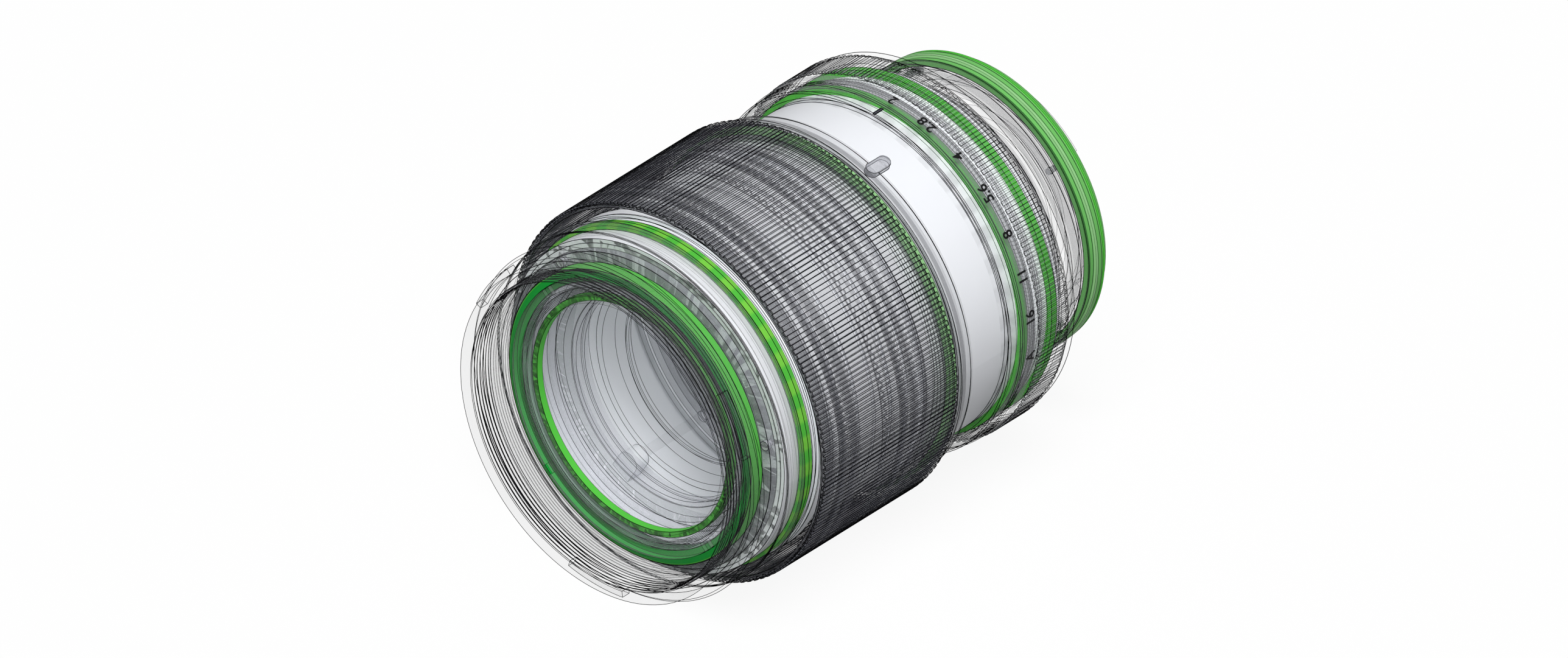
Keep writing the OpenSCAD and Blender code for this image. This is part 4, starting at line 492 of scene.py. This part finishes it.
def turned_finish_group():
    """Fine turning marks along the lens axis with a slow drift of tone, for every turned piece."""
    if "Turned finish" in bpy.data.node_groups:
        return bpy.data.node_groups["Turned finish"]
    group, into, out = shader_group(
        "Turned finish",
        [("Colour", "Color", (0.8, 0.8, 0.8, 1)), ("Marks per metre", "Float", 2600.0),
         ("Tone drift", "Float", 0.05), ("Base roughness", "Float", 0.4)],
        [("Colour", "Color"), ("Roughness", "Float"), ("Height", "Float")])
    place = node(group, "ShaderNodeTexCoord").outputs["Object"]
    axes = node(group, "ShaderNodeSeparateXYZ", {0: place})
    along = maths(group, "MULTIPLY", axes.outputs["Y"], into.outputs["Marks per metre"])
    marks = maths(group, "SINE", along)
    cloud = noise(group, place, TURNED_CLOUDS, 3.0)
    grain = noise(group, place, TURNED_GRAINS, 1.0)
    wander = maths(group, "MULTIPLY", maths(group, "SUBTRACT", cloud, 0.5), into.outputs["Tone drift"])
    tone = maths(group, "ADD", 1.0, wander)
    colour = node(group, "ShaderNodeVectorMath", {0: into.outputs["Colour"], "Scale": tone},
                  operation="SCALE")
    spread = maths(group, "MULTIPLY", grain, TURNED_ROUGHNESS_SPREAD)
    rough = maths(group, "ADD", into.outputs["Base roughness"], spread)
    height = maths(group, "ADD", maths(group, "MULTIPLY", marks, TURNED_MARK_HEIGHT),
                   maths(group, "MULTIPLY", grain, TURNED_GRAIN_HEIGHT))
    group.links.new(colour.outputs[0], out.inputs["Colour"])
    group.links.new(rough, out.inputs["Roughness"])
    group.links.new(height, out.inputs["Height"])
    return group


def rubber_grain_group():
    """Soft mottling and fine moulding grain, for the seals."""
    if "Rubber grain" in bpy.data.node_groups:
        return bpy.data.node_groups["Rubber grain"]
    group, into, out = shader_group(
        "Rubber grain", [("Colour", "Color", (0.1, 0.6, 0.1, 1)), ("Mottle", "Float", 0.12)],
        [("Colour", "Color"), ("Roughness", "Float"), ("Height", "Float")])
    place = node(group, "ShaderNodeTexCoord").outputs["Object"]
    cloud = noise(group, place, RUBBER_CLOUDS, 2.0)
    grain = noise(group, place, RUBBER_GRAINS, 1.0)
    mottle = maths(group, "MULTIPLY", maths(group, "SUBTRACT", cloud, 0.5), into.outputs["Mottle"])
    tone = maths(group, "ADD", 1.0, mottle)
    colour = node(group, "ShaderNodeVectorMath", {0: into.outputs["Colour"], "Scale": tone},
                  operation="SCALE")
    group.links.new(colour.outputs[0], out.inputs["Colour"])
    spread = maths(group, "MULTIPLY", grain, RUBBER_ROUGHNESS_SPREAD)
    group.links.new(maths(group, "ADD", RUBBER_ROUGHNESS, spread), out.inputs["Roughness"])
    group.links.new(grain, out.inputs["Height"])
    return group


def new_material(name, tint):
    """An empty material with its Principled shader and output."""
    material = bpy.data.materials.new(name)
    material.use_nodes = True
    material.diffuse_color = (*tint, 1)
    tree = material.node_tree
    tree.nodes.clear()
    surface = node(tree, "ShaderNodeBsdfPrincipled")
    node(tree, "ShaderNodeOutputMaterial", {"Surface": surface.outputs[0]})
    return material, tree, surface


def add_relief(tree, surface, height, strength):
    relief = node(tree, "ShaderNodeBump", {"Height": height, "Strength": strength,
                                           "Distance": RELIEF_DEPTH})
    tree.links.new(relief.outputs[0], surface.inputs["Normal"])


def turned_material(name, tint, roughness, alpha=1.0, marks=2600.0, drift=0.05, bump=0.02, gloss=0.5):
    """A turned finish: metal, glass, paint or ink."""
    material, tree, surface = new_material(name, tint)
    finish = node(tree, "ShaderNodeGroup", {}, node_tree=turned_finish_group())
    finish.inputs["Colour"].default_value = (*tint, 1)
    finish.inputs["Marks per metre"].default_value = marks
    finish.inputs["Tone drift"].default_value = drift
    finish.inputs["Base roughness"].default_value = roughness
    tree.links.new(finish.outputs["Colour"], surface.inputs["Base Color"])
    tree.links.new(finish.outputs["Roughness"], surface.inputs["Roughness"])
    add_relief(tree, surface, finish.outputs["Height"], bump)
    surface.inputs["Alpha"].default_value = alpha
    surface.inputs["Specular IOR Level"].default_value = gloss
    return material


def paint_material(name, tint):
    return turned_material(name, tint, 0.5, drift=0.2, bump=0.0, gloss=0.1)


def rubber_material(name, tint, places):
    """Rubber of one green, and of other greens within limits."""
    material, tree, surface = new_material(name, tint)
    grain = node(tree, "ShaderNodeGroup", {}, node_tree=rubber_grain_group())
    grain.inputs["Colour"].default_value = (*tint, 1)
    shown = None
    for second, limits in places:
        mixed = node(tree, "ShaderNodeMix", {}, data_type="RGBA")
        first, other = [item for item in mixed.inputs if item.type == "RGBA"]
        first.default_value, other.default_value = (*tint, 1), (*second, 1)
        if shown:
            tree.links.new(shown, first)
        tree.links.new(place_mask(tree, limits), mixed.inputs[0])
        shown = [item for item in mixed.outputs if item.type == "RGBA"][0]
    if shown:
        tree.links.new(shown, grain.inputs["Colour"])
    tree.links.new(grain.outputs["Colour"], surface.inputs["Base Color"])
    tree.links.new(grain.outputs["Roughness"], surface.inputs["Roughness"])
    add_relief(tree, surface, grain.outputs["Height"], RUBBER_RELIEF)
    surface.inputs["Specular IOR Level"].default_value = RUBBER_GLOSS
    return material


def let_light_through(piece):
    """A clear piece or a line stops no light, so that what lies behind it is lit as if it were alone."""
    piece.visible_shadow = False
    piece.visible_diffuse = False


def give(finish, material, clear=False):
    """Puts a material on the CAD nodes of a finish."""
    for name in FINISHES[finish]:
        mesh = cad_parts[name].data
        mesh.materials.clear()
        mesh.materials.append(material)
        if clear:
            let_light_through(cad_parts[name])


def give_see_through(*finishes):
    colours = settings()[0]
    for finish in finishes:
        tint, roughness, density, places = SEE_THROUGH[finish]
        material = turned_material(finish.replace(" ", "_"), getattr(colours, tint), roughness)
        give(finish, shade_in_places(material, density, places), True)


def ink_line_tree():
    """Finds the sharp edges of a mesh and draws a fine rod along each."""
    if "Ink lines" in bpy.data.node_groups:
        return bpy.data.node_groups["Ink lines"]
    tree = bpy.data.node_groups.new("Ink lines", "GeometryNodeTree")
    socket(tree, "Geometry", "Geometry", "INPUT")
    socket(tree, "Edge angle", "Float", "INPUT", 0.4)
    socket(tree, "Line radius", "Float", "INPUT", 0.05 * MM)
    socket(tree, "Line sides", "Int", "INPUT", 3)
    socket(tree, "Ink", "Material", "INPUT")
    socket(tree, "Geometry", "Geometry", "OUTPUT")
    into = tree.nodes.new("NodeGroupInput")
    out = tree.nodes.new("NodeGroupOutput")
    angle = node(tree, "GeometryNodeInputMeshEdgeAngle").outputs["Unsigned Angle"]
    sharp = node(tree, "FunctionNodeCompare", {0: angle, 1: into.outputs["Edge angle"]},
                 data_type="FLOAT", operation="GREATER_THAN").outputs[0]
    lines = node(tree, "GeometryNodeMeshToCurve", {"Mesh": into.outputs["Geometry"], "Selection": sharp})
    section = node(tree, "GeometryNodeCurvePrimitiveCircle", {"Resolution": into.outputs["Line sides"],
                                                              "Radius": into.outputs["Line radius"]})
    rods = node(tree, "GeometryNodeCurveToMesh", {"Curve": lines.outputs[0],
                                                  "Profile Curve": section.outputs[0]})
    real = node(tree, "GeometryNodeRealizeInstances", {0: rods.outputs[0]})
    inked = node(tree, "GeometryNodeSetMaterial", {"Geometry": real.outputs[0],
                                                   "Material": into.outputs["Ink"]})
    tree.links.new(inked.outputs[0], out.inputs["Geometry"])
    return tree


def set_input(modifier, name, value):
    """Sets a Geometry Nodes input by its socket's identifier."""
    for item in modifier.node_group.interface.items_tree:
        if item.item_type == "SOCKET" and item.in_out == "INPUT" and item.name == name:
            modifier[item.identifier] = value
            return
    raise RuntimeError("no input named " + name)


def merged_copy(names, title):
    """One mesh of several CAD nodes, each with its doubled vertices merged."""
    whole = bmesh.new()
    for name in names:
        part = bmesh.new()
        part.from_mesh(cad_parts[name].data)
        bmesh.ops.remove_doubles(part, verts=part.verts, dist=WELD)
        mesh = bpy.data.meshes.new("part")
        part.to_mesh(mesh)
        part.free()
        whole.from_mesh(mesh)
        bpy.data.meshes.remove(mesh)
    mesh = bpy.data.meshes.new(title)
    whole.to_mesh(mesh)
    whole.free()
    return mesh


def settled(piece):
    """Turns an object's evaluated modifiers into its plain mesh."""
    bpy.context.view_layer.update()
    evaluated = piece.evaluated_get(bpy.context.evaluated_depsgraph_get())
    mesh = bpy.data.meshes.new_from_object(evaluated)
    mesh.name = piece.name
    piece.modifiers.clear()
    piece.data = mesh
    return piece


def placed(mesh, name):
    piece = bpy.data.objects.new(name, mesh)
    bpy.context.scene.collection.objects.link(piece)
    return piece


class LENS_OT_shells(bpy.types.Operator):
    """Finish the clear outer shells, the rings and the grip"""

    bl_idname = "lens.shells"
    bl_label = "Finish shells"

    def execute(self, context):
        give_see_through("clear shell", "front shell", "clear ring", "retaining ring", "focus shell",
                         "fixed shell", "numbered shell", "rear shell", "smoky grip")
        return {"FINISHED"}


class LENS_OT_tubes(bpy.types.Operator):
    """Finish the main tube and the element cells"""

    bl_idname = "lens.tubes"
    bl_label = "Finish tubes"

    def execute(self, context):
        tint = settings()[0].tube
        give("white tube", turned_material("white_tube", tint, 0.5, marks=3600.0, drift=0.03, gloss=0.3))
        give_see_through("front cell", "pale cell")
        return {"FINISHED"}


class LENS_OT_glass(bpy.types.Operator):
    """Finish the lens elements"""

    bl_idname = "lens.glass"
    bl_label = "Finish glass"

    def execute(self, context):
        glass = turned_material("lens_glass", settings()[0].glass, 0.06, alpha=0.012, drift=0.02, bump=0.0)
        give("lens glass", glass, True)
        return {"FINISHED"}


class LENS_OT_seals(bpy.types.Operator):
    """Finish the green weather seals"""

    bl_idname = "lens.seals"
    bl_label = "Finish seals"

    def execute(self, context):
        colours = settings()[0]
        for finish, (tint, places) in RUBBERS.items():
            others = [(getattr(colours, other), limits) for other, limits in places]
            give(finish, rubber_material(finish.replace(" ", "_"), getattr(colours, tint), others))
        return {"FINISHED"}


class LENS_OT_mechanism(bpy.types.Operator):
    """Finish the iris, the motors, the screws, the boards and the mount"""

    bl_idname = "lens.mechanism"
    bl_label = "Finish mechanism"

    def execute(self, context):
        give_see_through("clear metal", "clear board", "smoky steel", "iris ring", "grey key")
        give("bright steel", turned_material("bright_steel", settings()[0].steel, 0.3, alpha=0.6))
        return {"FINISHED"}


class LENS_OT_edges(bpy.types.Operator):
    """Draw an ink line along every edge of every piece"""

    bl_idname = "lens.edges"
    bl_label = "Draw edges"

    def execute(self, context):
        colours, sizes, _ = settings()
        ink = turned_material("ink", colours.ink, 0.7, drift=0.3, bump=0.0, gloss=0.0)
        radii = {"heavy": sizes.heavy_line, "rim": sizes.rim_line, "grip": sizes.grip_line,
                 "fine": sizes.fine_line, "faint": sizes.faint_line}
        for title, (body, weight, names) in INK_GROUPS.items():
            piece = placed(merged_copy(names, title), title)
            modifier = piece.modifiers.new("Ink lines", "NODES")
            modifier.node_group = ink_line_tree()
            set_input(modifier, "Edge angle", sizes.edge_angle)
            set_input(modifier, "Line radius", radii[weight])
            set_input(modifier, "Line sides", sizes.line_sides)
            set_input(modifier, "Ink", ink)
            settled(piece)
            if not piece.data.polygons:
                raise RuntimeError(title + " came out empty")
            let_light_through(piece)
            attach(piece, body)
        return {"FINISHED"}


def wrapped_text(text, clock, sizes):
    """Raised print on the number band, with its feet towards the rear and its middle at a clock angle."""
    curve = bpy.data.curves.new("print", "FONT")
    curve.body = text
    curve.size = sizes.number_height / CAPITAL_SHARE
    curve.align_x = "CENTER"
    curve.extrude = PRINT_DEPTH
    curve.offset = PRINT_BOLDNESS
    curve.resolution_u = PRINT_STEPS
    writer = bpy.data.objects.new("print", curve)
    bpy.context.scene.collection.objects.link(writer)
    bpy.context.view_layer.update()
    mesh = bpy.data.meshes.new_from_object(writer.evaluated_get(bpy.context.evaluated_depsgraph_get()))
    bpy.data.objects.remove(writer)
    bpy.data.curves.remove(curve)
    for vertex in mesh.vertices:
        angle = clock - vertex.co.x / NUMBER_BAND_R
        radius = NUMBER_BAND_R + PRINT_LIFT + vertex.co.z
        along = FRONT_RIM_Y + sizes.number_station - vertex.co.y
        vertex.co = Vector((radius * math.sin(angle), along, radius * math.cos(angle)))
    return mesh


class LENS_OT_numbers(bpy.types.Operator):
    """Print the aperture numbers round the aperture ring"""

    bl_idname = "lens.numbers"
    bl_label = "Print numbers"

    def execute(self, context):
        colours, sizes, _ = settings()
        whole = bmesh.new()
        for place, text in enumerate(sizes.numbers.split()):
            mesh = wrapped_text(text, place * sizes.number_step, sizes)
            whole.from_mesh(mesh)
            bpy.data.meshes.remove(mesh)
        bmesh.ops.remove_doubles(whole, verts=whole.verts, dist=PRINT_WELD)
        bmesh.ops.recalc_face_normals(whole, faces=whole.faces)
        mesh = bpy.data.meshes.new("aperture_numbers")
        whole.to_mesh(mesh)
        whole.free()
        mesh.materials.append(paint_material("number_paint", colours.ink))
        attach(placed(mesh, "aperture_numbers"), "aperture_control")
        return {"FINISHED"}


class LENS_OT_index(bpy.types.Operator):
    """Fill the index groove on the fixed barrel with paint"""

    bl_idname = "lens.index"
    bl_label = "Fill index"

    def execute(self, context):
        colours = settings()[0]
        paint = bmesh.new()
        layers = []
        for height in INDEX_PAINT_HEIGHTS:
            radius = INDEX_FLOOR_R + height
            clocks = [(step / INDEX_STEPS - 0.5) * INDEX_WIDTH / radius for step in range(INDEX_STEPS + 1)]
            for along in INDEX_ENDS_Y:
                layers.append([paint.verts.new((radius * math.sin(c), along, radius * math.cos(c)))
                               for c in clocks])
        near_floor, far_floor, near_top, far_top = layers
        for first, second in ((near_floor, far_floor), (far_floor, far_top), (far_top, near_top),
                              (near_top, near_floor)):
            for step in range(INDEX_STEPS):
                paint.faces.new((first[step], first[step + 1], second[step + 1], second[step]))
        for end in (0, INDEX_STEPS):
            paint.faces.new((near_floor[end], far_floor[end], far_top[end], near_top[end]))
        bmesh.ops.recalc_face_normals(paint, faces=paint.faces)
        mesh = bpy.data.meshes.new("index_paint")
        paint.to_mesh(mesh)
        paint.free()
        mesh.materials.append(paint_material("index_paint", colours.grip))
        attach(placed(mesh, "index_paint"), "barrel")
        return {"FINISHED"}


def seen_directly(tree):
    """1 for what the camera, mirrors and clear pieces see, 0 for what only gives light."""
    path = node(tree, "ShaderNodeLightPath")
    reflected = maths(tree, "MAXIMUM", path.outputs["Is Glossy Ray"], path.outputs["Is Transmission Ray"])
    return maths(tree, "MAXIMUM", path.outputs["Is Camera Ray"], reflected)


def make_world(strength):
    """Even light of a strength, behind which the room is seen as white."""
    world = bpy.data.worlds.new("white_room")
    world.use_nodes = True
    tree = world.node_tree
    tree.nodes.clear()
    sky = node(tree, "ShaderNodeBackground", {"Color": (1, 1, 1, 1), "Strength": strength})
    white = node(tree, "ShaderNodeBackground", {"Color": (1, 1, 1, 1), "Strength": 1.0})
    mixed = node(tree, "ShaderNodeMixShader", {0: seen_directly(tree), 1: sky.outputs[0],
                                               2: white.outputs[0]})
    node(tree, "ShaderNodeOutputWorld", {"Surface": mixed.outputs[0]})
    return world


def floor_paper():
    """Paper that shows a faint shadow on white, and throws little light back on the lens."""
    material = bpy.data.materials.new("floor_paper")
    material.use_nodes = True
    tree = material.node_tree
    tree.nodes.clear()
    path = node(tree, "ShaderNodeLightPath")
    lift = maths(tree, "MULTIPLY", path.outputs["Is Camera Ray"], FLOOR_SEEN - FLOOR_UNSEEN)
    paper = node(tree, "ShaderNodeBsdfDiffuse", {"Color": maths(tree, "ADD", lift, FLOOR_UNSEEN)})
    white = node(tree, "ShaderNodeEmission", {"Color": (1, 1, 1, 1), "Strength": 1.0})
    factor = maths(tree, "MULTIPLY", seen_directly(tree), FLOOR_WHITE_SHARE)
    mixed = node(tree, "ShaderNodeMixShader", {0: factor, 1: paper.outputs[0], 2: white.outputs[0]})
    node(tree, "ShaderNodeOutputMaterial", {"Surface": mixed.outputs[0]})
    return material


def add_lamp(name, kind, energy):
    """A lamp and the object that holds it."""
    lamp = bpy.data.lights.new(name, kind)
    lamp.energy = energy
    holder = bpy.data.objects.new(name, lamp)
    bpy.context.scene.collection.objects.link(holder)
    return lamp, holder


class LENS_OT_stage(bpy.types.Operator):
    """Set the camera, the lamps, the white world and the pale floor"""

    bl_idname = "lens.stage"
    bl_label = "Set stage"

    def execute(self, context):
        _, sizes, stage = settings()
        scene = context.scene
        a, e, roll = stage.azimuth, stage.elevation, stage.roll
        back = Vector((math.sin(a) * math.cos(e), -math.cos(a) * math.cos(e), math.sin(e)))
        level = Vector((math.cos(a), math.sin(a), 0))
        upward = back.cross(level)
        right = level * math.cos(roll) + upward * math.sin(roll)
        up = back.cross(right)
        lens = bpy.data.cameras.new("view")
        lens.type = "ORTHO"
        lens.ortho_scale = stage.frame_width
        lens.clip_start, lens.clip_end = CLIP_START, CLIP_END
        camera = bpy.data.objects.new("view", lens)
        scene.collection.objects.link(camera)
        middle = Vector((0, FRONT_RIM_Y, 0)) - right * stage.rim_right - up * stage.rim_up
        turn = Matrix((right, up, back)).transposed().to_4x4()
        camera.matrix_world = Matrix.Translation(middle + back * CAMERA_DISTANCE) @ turn
        scene.camera = camera
        scene.view_settings.view_transform = "Standard"
        scene.cycles.transparent_max_bounces = 128
        scene.cycles.max_bounces = 16
        scene.cycles.diffuse_bounces = 2

        scene.world = make_world(stage.sky_strength)
        for name, strength, spread, towards in (
                ("key_lamp", stage.key_strength, KEY_SPREAD, Vector(KEY_TOWARDS)),
                ("front_lamp", stage.front_strength, FRONT_SPREAD,
                 back + right * FRONT_TO_RIGHT + up * FRONT_UPWARDS)):
            lamp, holder = add_lamp(name, "SUN", strength)
            lamp.angle = spread
            holder.rotation_mode = "QUATERNION"
            holder.rotation_quaternion = towards.to_track_quat("Z", "Y")
        lamp, holder = add_lamp("bore_lamp", "POINT", stage.bore_power)
        lamp.shadow_soft_size = BORE_LAMP_RADIUS
        holder.location = (0, FRONT_RIM_Y + stage.bore_station, 0)
        holder.visible_camera = holder.visible_glossy = holder.visible_transmission = False

        low = LOWEST_Z - sizes.grip_line
        corners = [(x * FLOOR_HALF, y * FLOOR_HALF, low) for x, y in ((-1, -1), (1, -1), (1, 1), (-1, 1))]
        mesh = bpy.data.meshes.new("floor")
        mesh.from_pydata(corners, [], [(0, 1, 2, 3)])
        mesh.materials.append(floor_paper())
        floor = placed(mesh, "floor")
        return {"FINISHED"}


OPERATORS = [
    LENS_OT_shells, LENS_OT_tubes, LENS_OT_glass, LENS_OT_seals, LENS_OT_mechanism, LENS_OT_edges,
    LENS_OT_numbers, LENS_OT_index, LENS_OT_stage,
]


class LENS_PT_panel(bpy.types.Panel):
    """Lists the lens's operators, sizes and colours"""

    bl_idname = "LENS_PT_panel"
    bl_label = "See-through lens"
    bl_space_type = "VIEW_3D"
    bl_region_type = "UI"
    bl_category = "Lens"

    def draw(self, context):
        for group in settings():
            for name in group.bl_rna.properties.keys():
                if name not in ("rna_type", "name"):
                    self.layout.prop(group, name)
        for operator in OPERATORS:
            self.layout.operator(operator.bl_idname)


CLASSES = [LensColours, LensSizes, LensStage, *OPERATORS, LENS_PT_panel]


def register():
    for item in CLASSES:
        bpy.utils.register_class(item)
    bpy.types.Scene.lens_colours = PointerProperty(type=LensColours)
    bpy.types.Scene.lens_sizes = PointerProperty(type=LensSizes)
    bpy.types.Scene.lens_stage = PointerProperty(type=LensStage)


def unregister():
    del bpy.types.Scene.lens_stage
    del bpy.types.Scene.lens_sizes
    del bpy.types.Scene.lens_colours
    for item in reversed(CLASSES):
        bpy.utils.unregister_class(item)


def main():
    register()
    for operator in OPERATORS:
        section, name = operator.bl_idname.split(".")
        getattr(getattr(bpy.ops, section), name)()


if __name__ == "__main__":
    main()
